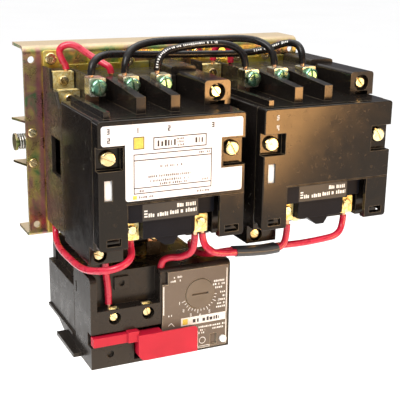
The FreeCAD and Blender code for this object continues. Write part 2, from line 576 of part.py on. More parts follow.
def armature():
    """The moving E-shaped stack above the coil."""
    tip = CORE_TOP + AIR_GAP
    bar = box((8.0, 80.0), STACK_Y, ARMATURE_BAR)
    legs = [box(x, STACK_Y, (tip, ARMATURE_BAR[0] + 1))
            for x in ((8.0, 16.5), (39.0, 49.0), (71.5, 80.0))]
    return joined([bar] + legs)


def contact_carrier():
    """The moulded cross-bar that the armature lifts, with a window for each contact bridge."""
    body = box((10.0, 78.0), CARRIER_Y, (ARMATURE_BAR[1], CARRIER_TOP))
    windows = [box((x - 5, x + 5), (30, 50), (BRIDGE_Z, 61.0)) for x in POLE_X]
    return without(body, windows)


def indicator_flag():
    """The white flag behind the cover's window; it rides on the carrier."""
    flag = box((INDICATOR_X[0] - 0.1, INDICATOR_X[1] + 0.1), (1.4, 2.8), (29.0, 41.2))
    arm = box((4.6, 6.6), (2.6, 40.0), (33.0, 36.0))
    post = box((4.6, 6.6), (38.5, 41.5), (33.0, 43.0))
    hook = box((4.6, 10.0), (38.5, 41.5), (40.0, 43.0))
    return joined([flag, arm, post, hook])


def contact_bridges():
    """One sprung bridge a pole, with a silver button under each end."""
    bridges = []
    for x in POLE_X:
        bar = box((x - 4, x + 4), (22.0, 60.0 - 1.0), (BRIDGE_Z, BRIDGE_Z + 2))
        buttons = [rod(x, y, BRIDGE_Z - 0.6, 2.5, 0.7, Z_AXIS) for y in (25.5, 55.5)]
        bridges.append(joined([bar] + buttons))
    return bridges


def fixed_contacts():
    """The fixed strips: the rear ones rise to the line clamps, the front ones end in the wall."""
    top = FIXED_CONTACT_Z + CONTACT_SHEET
    strips = []
    for x in POLE_X:
        rear = box((x - 4, x + 4), (52.5, 61.5), (FIXED_CONTACT_Z, top))
        riser = box((x - 4, x + 4), (60.0, 61.5), (FIXED_CONTACT_Z, CLAMP_TOP - 1))
        strips.append(joined([rear, riser]))
        strips.append(box((x - 4, x + 4), (COVER_SIDE + WALL, 29.0), (FIXED_CONTACT_Z, top)))
    return strips


def return_springs():
    """Two springs from the yoke to the armature, beside the coil."""
    return [helix_spring(COIL_X + sign * COIL_TERMINAL_OFFSET, 42, YOKE_TOP + 0.05, 3.0, 0.45,
                         ARMATURE_BAR[0] - YOKE_TOP - 0.1, 8) for sign in (-1, 1)]


def line_clamps():
    """A plated saddle clamp on each line strip."""
    clamps = []
    for x in POLE_X:
        clamp = box((x - 4.9, x + 4.9), (50.0, 59.9), (78.5, CLAMP_TOP))
        clamp = rounded(clamp, 1.0, Y_AXIS)
        clamps.append(clamp.cut(rod(x, 49, LINE_SCREW_Z, 2.2, 12)))
    return clamps


def line_screws():
    """The big slotted screws of the line clamps."""
    return [screw(x, LINE_SCREW_Y, LINE_SCREW_Z, LINE_SCREW_R, 3.9, 2.2, 9.5, 80) for x in POLE_X]


def load_screws():
    """The load terminals' screws; on the left contactor they also hold the relay's straps."""
    return [screw(x, y - 3.4 - out, z, 3.6, 2.6, 1.7, 4.6 + out, 25)
            for x, y, z, out in zip(LOAD_X, LOAD_Y, LOAD_Z, LOAD_BACKED_OUT)]


def aux_cages():
    """Two brass cage clamps: the lower one stands forward of the upper one."""
    cages = []
    for y, z in ((78.8, 67.3), (90.4, 76.9)):
        cage = box((2.2, 15.8), (y, y + 5.0), (z, z + 11.2))
        cage = rounded(cage, 0.9, Y_AXIS)
        cages.append(cage.cut(rod(9.0, y - 1, z + 5.6, 1.4, 5)))
    return cages


def aux_screws():
    """The screws of the two auxiliary cages."""
    return [screw(9.0, y - 1.6, z, 3.0, 1.6, 1.4, 3.6, slot)
            for y, z, slot in ((78.8, 72.9, 20), (90.4, 82.5, 60))]


def cover_screws():
    """The two screws that hold the front cover."""
    return [screw(x, 2.0, COVER_SCREW_Z, COVER_SCREW_R, 3.0, 1.9, 14.0, slot)
            for x, slot in zip(COVER_SCREW_X, (25, 60))]


def block_screw():
    """The long screw at the bottom of the add-on block's round recess."""
    return screw(BLOCK_SCREW_X, BLOCK_Y[0] + 1.4, BLOCK_SCREW_Z, 3.8, 2.6, 1.7, 14.0, 50)


def base_rivets():
    """The tubular rivets that hold the contactor's steel foot to the channel web."""
    rivets = []
    for x, z in BASE_RIVETS:
        head = rod(x, BASE_FRONT - 1.8, z, 3.8, 1.8)
        rim = [e for e in head.Edges if e.Curve.TypeId == "Part::GeomCircle"
               and e.CenterOfMass.y < BASE_FRONT - 1]
        rivet = head.makeFillet(0.9, rim).fuse(rod(x, BASE_FRONT, z, BASE_RIVET_SHANK, 5.2))
        rivets.append(rivet.cut(rod(x, BASE_FRONT - 3, z, 1.3, 6.0)))
    return rivets


# ---------------------------------------------------------------- overload relay


def overload_case():
    """The relay's moulded body: front section, lower rear section, neck and clip foot."""
    front = box((0, OL_WIDTH), (OL_FRONT, OL_STEP_Y), (OL_BOTTOM, OL_TOP))
    front = rounded(front, 3.0, X_AXIS, lambda m: m.z > OL_TOP - 1)
    rear = box((0, OL_WIDTH), (OL_STEP_Y, OL_BACK), (OL_REAR_BOTTOM, OL_REAR_TOP))
    raised = box((5, OL_WIDTH - 5), (OL_STEP_Y - 1, OL_BACK), (OL_REAR_TOP - 1, OL_REAR_TOP + 9))
    neck = box((3, 84), (DEPTH - 9.0, DEPTH - 3.0), (OL_REAR_TOP, REAR_BOTTOM - 10.0))
    ledge = box((-1.2, 3), (OL_STEP_Y + 2, OL_BACK), (OL_REAR_BOTTOM, OL_REAR_BOTTOM + 2))
    foot = box((-5.0, 14.0), (38.0, 74.0), (OL_REAR_BOTTOM - 8.5, OL_REAR_BOTTOM - 6.0))
    stem = box((1.0, 14.0), (40.0, 74.0), (OL_REAR_BOTTOM - 7.0, OL_REAR_BOTTOM + 1))
    gusset = Part.Face(Part.makePolygon([
        Vector(1, 74, OL_REAR_BOTTOM + 1), Vector(1, OL_BACK - 2, OL_REAR_BOTTOM + 1),
        Vector(1, 74, OL_REAR_BOTTOM - 8.5), Vector(1, 74, OL_REAR_BOTTOM + 1)])).extrude(Vector(3, 0, 0))
    pin = box((80, 86), (24, 34), (OL_BOTTOM - 2.4, OL_BOTTOM + 1))
    shrouds = [box((x - 4.4, x + 4.6), (y - 1.5, y - 0.3), (OL_TOP - 4, HOUSING_BOTTOM - 0.6))
               for x, y in zip(LOAD_X, LOAD_Y)]
    boss = box((17.5, 26.5), (24.9, 27.0), (-34.0, -26.0))
    case = joined([front, rear, raised, neck, ledge, foot, stem, gusset, pin] + shrouds)
    cuts = [
        box((4.0, RECESS_RIGHT), (OL_FRONT - 1, 26.5), (SHELF_TOP, OL_TOP + 1)),
        box((RECESS_RIGHT + 1, OL_WIDTH - 1.5), (OL_FRONT - 1, OL_FRONT + 1.2), (-63.0, OL_TOP - 2.0)),
        box((RECESS_RIGHT + 24, OL_WIDTH - 1.5), (OL_FRONT - 1, OL_FRONT + 1.2), (-78.5, -60.0)),
        box((-1, 30.0), (OL_FRONT - 1, 24.5), (-66.0, -57.6)),
        box((27.0, 67.4), (OL_FRONT - 1, 24.5), (-77.8, -57.6)),
        box((-1, 0.7), (OL_STEP_Y - 0.6, OL_STEP_Y + 0.2), (OL_REAR_BOTTOM, -40.0)),
        box((-1, 1.2), (44.0, 46.0), (-39.5, -32.0)),
        rod(12.0, OL_FRONT - 1, -71.5, 2.3, 3.0),
        rod(DIAL_X, OL_FRONT, DIAL_Z, 2.6, 6),
        rod(BUTTON_X, OL_FRONT, BUTTON_Z, 1.6, 9),
    ]
    for x in OL_TERMINAL_X:
        cuts.append(rod(x, OL_FRONT - 1, OL_TERMINAL_Z, 3.9, 8.0))
        cuts.append(box((x - 3.0, x + 3.0), (OL_FRONT + 1.0, 26.5), (OL_TERMINAL_Z, SHELF_TOP + 1)))
        cuts.append(rod(x, OL_FRONT, OL_TERMINAL_Z, 1.4, 12))
    for x, y in zip(LOAD_X, LOAD_Y):
        cuts.append(box((x - 3.3, x + 3.3), (y - 0.2, y + STRAP_T + 0.3), (STRAP_FOOT - 0.2, OL_TOP + 1)))
    cuts.append(box((LOAD_X[0] - 4.9, LOAD_X[0] + 4.9), (26.0, 33.0), (-66.4, -55.6)))
    cuts.append(box((4, OL_WIDTH - 4), (OL_STEP_Y - 6, OL_BACK + 1), (OL_REAR_BOTTOM + 3, OL_REAR_TOP - 2)))
    cuts.append(box((8, OL_WIDTH - 8), (31.0, OL_STEP_Y + 3), (OL_REAR_BOTTOM + 3, OL_REAR_TOP - 2)))
    cuts.append(rod(LINK_HOLE[0] - LEFT_X, LINK_HOLE[1] - FRONT_Y, OL_TOP - LINK_DEPTH,
                    WIRE_D / 2 + 0.4, LINK_DEPTH + 1, Z_AXIS))
    cuts.append(rod(BUTTON_X, OL_FRONT, BUTTON_Z, BUTTON_R + 0.4, 4.2))
    cuts.append(rod(RESET_SPRING[0], OL_FRONT, RESET_SPRING[1], 3.4, RESET_SPRING_SEAT - OL_FRONT))
    case = without(case, cuts)
    return joined([case, boss.cut(rod(22.0, 24.0, -30.0, 2.0, 2.6))])


def overload_circuit_board():
    """The relay's board, with a current transformer round each strap and chips behind."""
    shapes = [box((9, 82), BOARD_Y, (-67, -42))]
    for x, y in zip(LOAD_X, LOAD_Y):
        low = min(y - 1.7, BOARD_Y[0])
        high = max(y + STRAP_T + 1.8, BOARD_Y[0])
        transformer = box((x - 4.6, x + 4.6), (low, high), (-66, -56))
        window = box((x - 3.2, x + 3.2), (y - 0.2, y + STRAP_T + 0.3), (-67, -55))
        shapes.append(transformer.cut(window))
    chips = [(x, z) for x in (14, 38, 58, 70) for z in (-64, -52)]
    shapes += [box((x, x + 6), (BOARD_Y[1], BOARD_Y[1] + 3), (z, z + 7)) for x, z in chips]
    return joined(shapes)


def overload_faceplate():
    """The grey front plate with the dial opening and the corner that clears the reset lever."""
    top = box((45.2, 89.2), (FACEPLATE_Y, FACEPLATE_Y + 2.0), (FACEPLATE_STEP_Z, OL_TOP - 2.2))
    low = box((68.2, 89.2), (FACEPLATE_Y, FACEPLATE_Y + 2.0), (-78.3, -62.0))
    plate = joined([top, low])
    plate = rounded(plate, 1.0, Y_AXIS, lambda m: abs(m.z - FACEPLATE_STEP_Z) > 0.1)
    notch = box((45.0, 49.0), (FACEPLATE_Y - 1, FACEPLATE_Y + 3), (-32.5, OL_TOP))
    window = box((77.6, 82.2), (FACEPLATE_Y - 1, FACEPLATE_Y + 1.4), (-77.0, -69.6))
    opening = rod(DIAL_X, FACEPLATE_Y - 1, DIAL_Z, DIAL_R + 0.3, 4)
    button = rod(BUTTON_X, FACEPLATE_Y - 1, BUTTON_Z, 2.5, 4)
    return without(plate, [notch, window, opening, button])


def overload_dial():
    """The current-setting dial: a low disc with a screwdriver slot and a stem."""
    disc = rod(DIAL_X, FACEPLATE_Y - 0.6, DIAL_Z, DIAL_R, 2.4)
    stem = rod(DIAL_X, FACEPLATE_Y + 1.8, DIAL_Z, 2.5, 4.0)
    slot = box((DIAL_X - 5.5, DIAL_X + 5.5), (FACEPLATE_Y - 1, FACEPLATE_Y + 0.5),
               (DIAL_Z - 0.6, DIAL_Z + 0.6))
    return disc.fuse(stem).cut(slot)


def overload_reset_lever():
    """The red reset lever: a bar from the left side, an upright tab and the wide push block."""
    bar = box((0.6, 30.0), (15.2, LEVER_BACK), LEVER_Z)
    tab = box((22.0, 28.6), (13.8, LEVER_BACK), (-64.6, -57.9))
    block = box((28.0, 66.8), (LEVER_FRONT, LEVER_BACK), (-77.2, -60.4))
    block = rounded(block, 5.0, Y_AXIS, lambda m: m.x < 30 and m.z < -70)
    block = rounded(block, 2.5, Y_AXIS, lambda m: m.x > 60 and m.z > -61)
    rebate = box((44.0, 68.0), (LEVER_FRONT + 1.0, 21.0), (FACEPLATE_STEP_Z - 0.5, -58.0))
    return joined([bar, tab, block.cut(rebate)])


def overload_reset_spring():
    """A coil spring between the push block and its pocket in the relay's body."""
    spring = helix_spring(0, 0, 0, 2.6, 0.4, RESET_SPRING_SEAT - LEVER_BACK - 0.1, 5)
    spring.rotate(Vector(0, 0, 0), X_AXIS, -90)
    spring.translate(Vector(RESET_SPRING[0], LEVER_BACK + 0.05, RESET_SPRING[1]))
    return spring


def overload_test_button():
    """The white test button and its stem."""
    head = rod(BUTTON_X, FACEPLATE_Y - 1.6, BUTTON_Z, BUTTON_R, 4.6)
    return head.fuse(rod(BUTTON_X, FACEPLATE_Y + 3.0, BUTTON_Z, 1.5, 4.0))


def overload_clamps():
    """The two brass clamp plates on the relay's control terminals."""
    clamps = []
    for x in OL_TERMINAL_X:
        plate = box((x - 2.8, x + 2.8), (22.4, 24.0), (OL_TERMINAL_Z - 2.2, SHELF_TOP))
        clamps.append(plate.cut(rod(x, 20, OL_TERMINAL_Z, 1.4, 8)))
    return clamps


def overload_terminal_screws():
    """The screws of the relay's two control terminals."""
    return [screw(x, 20.2, OL_TERMINAL_Z, 3.0, 2.2, 1.4, 4.0, slot)
            for x, slot in zip(OL_TERMINAL_X, (40, 70))]


def conductor_straps():
    """Three flat bars from the contactor's load terminals down into the relay."""
    straps = []
    for x, y, z in zip(LOAD_X, LOAD_Y, LOAD_Z):
        strap = box((x - 3.0, x + 3.0), (y, y + STRAP_T), (STRAP_FOOT, -5.6))
        straps.append(strap.cut(rod(x, y - 1, z, 1.7, STRAP_T + 2)))
    return straps


# ---------------------------------------------------------------- wires

def smooth_path(points):
    """Straight runs joined by tangent arcs, each as large as the runs beside it allow."""
    runs = [points[i + 1] - points[i] for i in range(len(points) - 1)]
    edges = []
    radii = []
    start = points[0]
    for i in range(1, len(points) - 1):
        before = runs[i - 1]
        after = runs[i]
        turn = before.getAngle(after)
        reach = 0.45 * min(before.Length, after.Length)
        radius = reach / math.tan(turn / 2)
        into = points[i] - before * (reach / before.Length)
        out = points[i] + after * (reach / after.Length)
        inward = ((into + out) * 0.5 - points[i]).normalize()
        middle = points[i] + inward * (radius / math.cos(turn / 2) - radius)
        edges.append(Part.LineSegment(start, into).toShape())
        edges.append(Part.Arc(into, middle, out).toShape())
        radii.append(round(radius, 1))
        start = out
    edges.append(Part.LineSegment(start, points[-1]).toShape())
    return Part.Wire(edges), radii


def smooth_tube(points, diameter):
    """A round solid swept along the smoothed points."""
    path, _ = smooth_path(points)
    section = Part.Wire([Part.makeCircle(diameter / 2, points[0], points[1] - points[0])])
    return path.makePipeShell([section], True, False)


def wire(name, route, diameter):
    """A wire along its route; prints its length, its bend radii and a check of its volume."""
    points = [Vector(*p) for p in route]
    path, radii = smooth_path(points)
    solid = smooth_tube(points, diameter)
    expected = math.pi * diameter ** 2 / 4 * path.Length
    print(name, "length", round(path.Length, 1), "radii", radii,
          "volume ratio", round(solid.Volume / expected, 3))
    return solid


def wire_sleeve():
    """The black shrink sleeve that ties the two coil wires together between the contactors."""
    middle = [Vector(x, y + SLEEVE_GAP / 2, z) for x, y, z in SLEEVE_POINTS]
    middle[0] += (middle[1] - middle[0]).normalize() * SLEEVE_INSET
    middle[-1] += (middle[-2] - middle[-1]).normalize() * SLEEVE_INSET
    way = (middle[1] - middle[0]).normalize()
    radius = WIRE_D / 2 + SLEEVE_WALL
    up = X_AXIS.cross(Y_AXIS)
    up = (up - way * up.dot(way)).normalize()
    side = way.cross(up).normalize()
    half = SLEEVE_GAP / 2
    corner = [middle[0] + side * (half * a) + up * (radius * b)
              for a, b in ((-1, 1), (1, 1), (1, -1), (-1, -1))]
    bulge = [middle[0] + side * (sign * (half + radius)) for sign in (1, -1)]
    section = Part.Wire([
        Part.LineSegment(corner[0], corner[1]).toShape(), Part.Arc(corner[1], bulge[0], corner[2]).toShape(),
        Part.LineSegment(corner[2], corner[3]).toShape(), Part.Arc(corner[3], bulge[1], corner[0]).toShape()])
    path, _ = smooth_path(middle)
    sleeve = path.makePipeShell([section], True, False)
    fat = WIRE_D + 0.04
    wires = [smooth_tube([Vector(*p) for p in ROUTES[name]], fat)
             for name in ("coil_link_front", "interlock_control_wire")]
    return sleeve.cut(wires)


# ---------------------------------------------------------------- everything in its place

SIDES = (("left", LEFT_X), ("right", RIGHT_X))
SINGLE = {
    "front_cover": front_cover, "contact_housing": contact_housing, "rear_housing": rear_housing,
    "interlock_block": interlock_block, "base_plate": base_plate, "coil": coil,
    "magnet_core": magnet_core, "armature": armature, "contact_carrier": contact_carrier,
    "indicator_flag": indicator_flag,
}
PER_SIDE_GROUPS = {"contact_bridges": contact_bridges, "return_springs": return_springs}
SHARED_GROUPS = {
    "cover_screws": cover_screws, "line_clamps": line_clamps, "line_screws": line_screws,
    "aux_terminal_cages": aux_cages, "coil_terminal_clamps": coil_terminals,
    "fixed_contacts": fixed_contacts, "interlock_block_screws": lambda: [block_screw()],
}


def build():
    """Every node, drawn in its own frame and saved in its place."""
    save("channel_plate", channel_plate())
    save("interlock_bracket", interlock_bracket())
    save("interlock_slide_bar", interlock_slide())
    save("interlock_guide_strap", interlock_guide())
    spring_length = EAR_X[0] - SLIDE_TIP_X
    save("interlock_spring", helix_spring(SLIDE_TIP_X + 0.05, SLIDE_Y, 0, INTERLOCK_SPRING_R,
                                          INTERLOCK_SPRING_WIRE, spring_length - 0.1, 5, X_AXIS))
    for side, x in SIDES:
        for name, make in SINGLE.items():
            save(side + "_" + name, moved(make(), x))
        for name, make in PER_SIDE_GROUPS.items():
            save(side + "_" + name, group(moved(s, x) for s in make()))
    for name, make in SHARED_GROUPS.items():
        save(name, group(moved(s, x) for _, x in SIDES for s in make()))
    save("load_screws", group(moved(s, x) for _, x in SIDES for s in load_screws()))
    small = [moved(s, x) for _, x in SIDES for s in aux_screws() + coil_screws()]
    small += [moved(s, LEFT_X) for s in overload_terminal_screws()]
    save("small_terminal_screws", group(small))
    plate = [moved(s, x) for _, x in SIDES for s in base_rivets()]
    for z in (RIVET_Z, STRIP_SCREW_Z):
        plate.append(screw(STRIP_X, -SHEET - 1.6, z, 3.0, 1.6, STRIP_SCREW_SHANK, 4.4, 30))
    save("plate_fasteners", group(plate))
    save("nameplate", moved(nameplate(), LEFT_X))
    for make in (overload_case, overload_circuit_board, overload_faceplate, overload_dial,
                 overload_reset_lever, overload_reset_spring, overload_test_button):
        save(make.__name__, moved(make(), LEFT_X))
    save("overload_clamps", group(moved(s, LEFT_X) for s in overload_clamps()))
    save("conductor_straps", group(moved(s, LEFT_X) for s in conductor_straps()))
    for name, points in ROUTES.items():
        save(name, wire(name, points, JUMPER_D if name.startswith("jumper") else WIRE_D))
    save("wire_sleeve", wire_sleeve())


build()
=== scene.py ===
"""Looks for the reversing magnetic motor starter: materials, printed marks, bare wire ends and light."""
import bpy
import json
import math
import random
from mathutils import Matrix, Quaternion, Vector


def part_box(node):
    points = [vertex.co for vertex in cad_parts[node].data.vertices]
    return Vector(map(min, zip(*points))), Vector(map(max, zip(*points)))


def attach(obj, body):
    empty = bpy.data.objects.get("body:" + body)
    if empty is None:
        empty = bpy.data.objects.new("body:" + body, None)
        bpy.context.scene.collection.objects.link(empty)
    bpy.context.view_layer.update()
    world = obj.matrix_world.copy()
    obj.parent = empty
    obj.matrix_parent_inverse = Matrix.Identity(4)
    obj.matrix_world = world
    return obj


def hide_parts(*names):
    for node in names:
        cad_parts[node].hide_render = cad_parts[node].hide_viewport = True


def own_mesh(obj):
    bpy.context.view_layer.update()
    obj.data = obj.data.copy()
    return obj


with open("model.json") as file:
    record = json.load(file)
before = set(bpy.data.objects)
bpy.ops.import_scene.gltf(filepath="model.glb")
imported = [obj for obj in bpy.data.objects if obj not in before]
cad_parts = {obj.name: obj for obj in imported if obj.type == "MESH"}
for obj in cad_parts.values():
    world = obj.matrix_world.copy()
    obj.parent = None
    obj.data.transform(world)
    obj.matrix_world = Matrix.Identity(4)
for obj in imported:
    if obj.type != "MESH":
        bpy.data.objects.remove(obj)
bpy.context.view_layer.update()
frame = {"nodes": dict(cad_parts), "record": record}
NODES = frame["nodes"]

MM = 0.001


def low_corner(node):
    """The lowest corner of a node at rest, in mm."""
    return [round(c / MM, 2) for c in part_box(node)[0]]


# the contactor frame of part.py: x from the cover's left edge, y back from its front, z up from its foot
LEFT_X, FRONT_Y, COVER_Z = low_corner("left_front_cover")
RIGHT_X = low_corner("right_front_cover")[0]


# ---------------------------------------------------------------- node materials

BEVEL_SAMPLES = 6
# how closely the rounded normal follows the face: on the flat, and on an edge
FACE_DOT = 0.998
EDGE_DOT = 0.86


class Look:
    """A small builder for one procedural material; every texture reads the object's own coordinates."""

    def __init__(self, name):
        self.material = bpy.data.materials.new(name)
        self.material.use_nodes = True
        self.tree = self.material.node_tree
        self.tree.nodes.clear()
        self.bsdf = self.tree.nodes.new("ShaderNodeBsdfPrincipled")
        output = self.tree.nodes.new("ShaderNodeOutputMaterial")
        self.tree.links.new(self.bsdf.outputs[0], output.inputs["Surface"])
        self.where = self.tree.nodes.new("ShaderNodeTexCoord").outputs["Object"]

    def node(self, kind, inputs=(), **settings):
        made = self.tree.nodes.new(kind)
        for key, value in settings.items():
            setattr(made, key, value)
        for key, value in dict(inputs).items():
            self.plug(made.inputs[key], value)
        return made

    def plug(self, socket, value):
        if isinstance(value, bpy.types.NodeSocket):
            self.tree.links.new(value, socket)
        elif isinstance(value, (tuple, list)) and len(value) == 3 and socket.type == "RGBA":
            socket.default_value = (*value, 1.0)
        else:
            socket.default_value = value

    def stretched(self, stretch):
        return self.node("ShaderNodeMapping", {"Vector": self.where, "Scale": stretch}).outputs[0]

    def noise(self, scale, detail=3.0, distortion=0.0, stretch=None):
        where = self.stretched(stretch) if stretch else self.where
        made = self.node("ShaderNodeTexNoise", {"Vector": where, "Scale": scale, "Detail": detail,
                                                "Distortion": distortion})
        return made.outputs["Fac"]

    def cells(self, scale, feature="F1"):
        return self.node("ShaderNodeTexVoronoi", {"Vector": self.where, "Scale": scale},
                         feature=feature).outputs["Distance"]

    def ramp(self, value, *stops):
        made = self.node("ShaderNodeValToRGB", {"Fac": value})
        elements = made.color_ramp.elements
        while len(elements) < len(stops):
            elements.new(0.5)
        for element, (place, colour) in zip(elements, stops):
            element.position = place
            element.color = (*colour, 1.0)
        return made.outputs["Color"]

    def spread(self, value, low, high, to_low=0.0, to_high=1.0):
        return self.node("ShaderNodeMapRange", {"Value": value, "From Min": low, "From Max": high,
                                                "To Min": to_low, "To Max": to_high}).outputs[0]

    def mix(self, amount, a, b, blend="MIX"):
        made = self.node("ShaderNodeMix", data_type="RGBA", blend_type=blend)
        self.plug(made.inputs[0], amount)
        self.plug(made.inputs[6], a)
        self.plug(made.inputs[7], b)
        return made.outputs[2]

    def times(self, a, b, operation="MULTIPLY"):
        made = self.node("ShaderNodeMath", operation=operation)
        self.plug(made.inputs[0], a)
        self.plug(made.inputs[1], b)
        return made.outputs[0]

    def axis(self, name):
        return self.node("ShaderNodeSeparateXYZ", {"Vector": self.where}).outputs[name]

    def soft_edges(self, radius):
        """The normal with rounded edges, and a mask that is 1 on the edges."""
        bevel = self.node("ShaderNodeBevel", {"Radius": radius}, samples=BEVEL_SAMPLES).outputs[0]
        flat = self.node("ShaderNodeNewGeometry").outputs["Normal"]
        dot = self.node("ShaderNodeVectorMath", {0: bevel, 1: flat}, operation="DOT_PRODUCT")
        return bevel, self.spread(dot.outputs["Value"], FACE_DOT, EDGE_DOT)

    def bump(self, height, strength, distance, normal=None):
        inputs = {"Height": height, "Strength": strength, "Distance": distance}
        if normal is not None:
            inputs["Normal"] = normal
        return self.node("ShaderNodeBump", inputs).outputs[0]

    def finish(self, **inputs):
        for key, value in inputs.items():
            self.plug(self.bsdf.inputs[key.replace("_", " ")], value)
        return self.material


def scaled(colour, factor):
    return tuple(min(1.0, c * factor) for c in colour)


def plastic(name, base, rough, edge, wear=0.5, grain=0.05, blotch=0.15, shine=0.35, radius=0.35,
            tint=(1.0, 0.88, 0.74)):
    """Moulded plastic: a cloudy tone, fine moulding grain, rubbed edges and a few handling marks."""
    look = Look(name)
    normal, edges = look.soft_edges(radius * MM)
    cloud = look.noise(38.0, 5.0, 0.6)
    fine = look.noise(2600.0, 2.0)
    dust = look.spread(look.noise(420.0, 6.0, 1.2), 0.60, 0.74)
    colour = look.ramp(cloud, (0.3, scaled(base, 1 - blotch)), (0.7, scaled(base, 1 + blotch)))
    colour = look.mix(look.times(dust, 0.05), colour, scaled(edge, 1.1))
    rubbed = look.times(edges, look.spread(look.noise(240.0, 4.0), 0.30, 0.62, 0.25, 1.0))
    colour = look.mix(look.times(rubbed, wear), colour, edge)
    roughness = look.spread(look.noise(120.0, 5.0, 0.4), 0.3, 0.7, rough * 0.82, rough * 1.22)
    roughness = look.times(roughness, look.times(dust, 0.12), "ADD")
    height = look.times(fine, look.times(look.noise(55.0, 2.0), 2.5), "ADD")
    return look.finish(Base_Color=colour, Roughness=roughness, Specular_IOR_Level=shine,
                       Specular_Tint=(*tint, 1.0), Normal=look.bump(height, grain, 0.05 * MM, normal))


def plated(name, tones, rough, scale=26.0, grain=0.10, brush=(1, 1, 1), edge=None, radius=0.3, streak=0.0,
           band=None, top=None, dimples=0.0):
    """Plated steel or brass: an uneven tint in patches, fine grain and brighter edges; upward faces can get a
    painted top light.
    """
    look = Look(name)
    normal, edges = look.soft_edges(radius * MM)
    patches = look.noise(scale, 5.0, 1.4)
    if streak:
        run = look.noise(scale * 1.6, 4.0, 0.8, stretch=(1.0, 1.0, 0.12))
        patches = look.times(look.times(patches, 1.0 - streak), look.times(run, streak), "ADD")
    steps = [(0.30 + 0.40 * i / max(1, len(tones) - 1), tone) for i, tone in enumerate(tones)]
    colour = look.ramp(patches, *steps)
    if edge:
        colour = look.mix(look.times(edges, 0.7), colour, edge)
    if band:
        middle, half, tone = band
        wander = look.times(look.times(look.noise(60.0, 3.0), 0.5, "SUBTRACT"), half * 1.6)
        away = look.times(look.times(look.axis("X"), wander, "ADD"), middle, "SUBTRACT")
        inside = look.spread(look.times(away, 0.0, "ABSOLUTE"), half * 1.2, half * 0.4)
        colour = look.mix(look.times(inside, 0.8), colour, tone)
    painted_top_light_mask = None
    # painted top light: faces that point up are mixed towards the top tone, as if lit from above, and are
    # also made rougher
    if top:
        facing = look.node("ShaderNodeNewGeometry").outputs["Normal"]
        upward = look.node("ShaderNodeSeparateXYZ", {"Vector": facing})
        painted_top_light_mask = look.spread(upward.outputs["Z"], 0.35, 0.9)
        colour = look.mix(painted_top_light_mask, colour, top)
    fine = look.noise(1500.0, 3.0, 0.2, stretch=brush)
    if dimples:
        fine = look.times(fine, look.times(look.cells(1100.0), dimples), "ADD")
    pits = look.spread(look.noise(700.0, 4.0), 0.62, 0.72)
    colour = look.mix(look.times(pits, 0.35), colour, scaled(tones[0], 0.45))
    roughness = look.spread(look.noise(90.0, 5.0, 0.5), 0.3, 0.7, rough * 0.7, rough * 1.35)
    if painted_top_light_mask is not None:
        roughness = look.times(roughness, look.times(painted_top_light_mask, 0.35), "ADD")
    return look.finish(Base_Color=colour, Metallic=1.0, Roughness=roughness,
                       Normal=look.bump(fine, grain, 0.04 * MM, normal))


def printed(name, ink, rough=0.5, fade=0.25):
    """Ink or label stock: slightly uneven, with a faint texture."""
    look = Look(name)
    cloud = look.noise(900.0, 4.0)
    colour = look.ramp(cloud, (0.3, scaled(ink, 1 - fade)), (0.7, ink))
    roughness = look.spread(look.noise(300.0), 0.3, 0.7, rough * 0.85, rough * 1.15)
    return look.finish(Base_Color=colour, Roughness=roughness,
                       Normal=look.bump(look.noise(3000.0), 0.05, 0.02 * MM))


def insulation(name, base, rough, pale, coat=0.25, shine=0.5):
    """Extruded wire insulation: a waxy skin with faint rings, scuffs and paler rubbed spots."""
    look = Look(name)
    cloud = look.noise(140.0, 4.0, 0.8)
    scuff = look.spread(look.noise(900.0, 5.0, 1.0), 0.60, 0.72)
    colour = look.ramp(cloud, (0.3, scaled(base, 0.78)), (0.7, scaled(base, 1.15)))
    colour = look.mix(look.times(scuff, 0.25), colour, pale)
    roughness = look.spread(cloud, 0.3, 0.7, rough * 0.8, rough * 1.3)
    height = look.times(look.noise(700.0, 3.0), look.noise(90.0, 2.0), "ADD")
    return look.finish(Base_Color=colour, Roughness=roughness, Coat_Weight=coat, Coat_Roughness=0.15,
                       Specular_IOR_Level=shine, Subsurface_Weight=0.04,
                       Normal=look.bump(height, 0.22, 0.10 * MM))


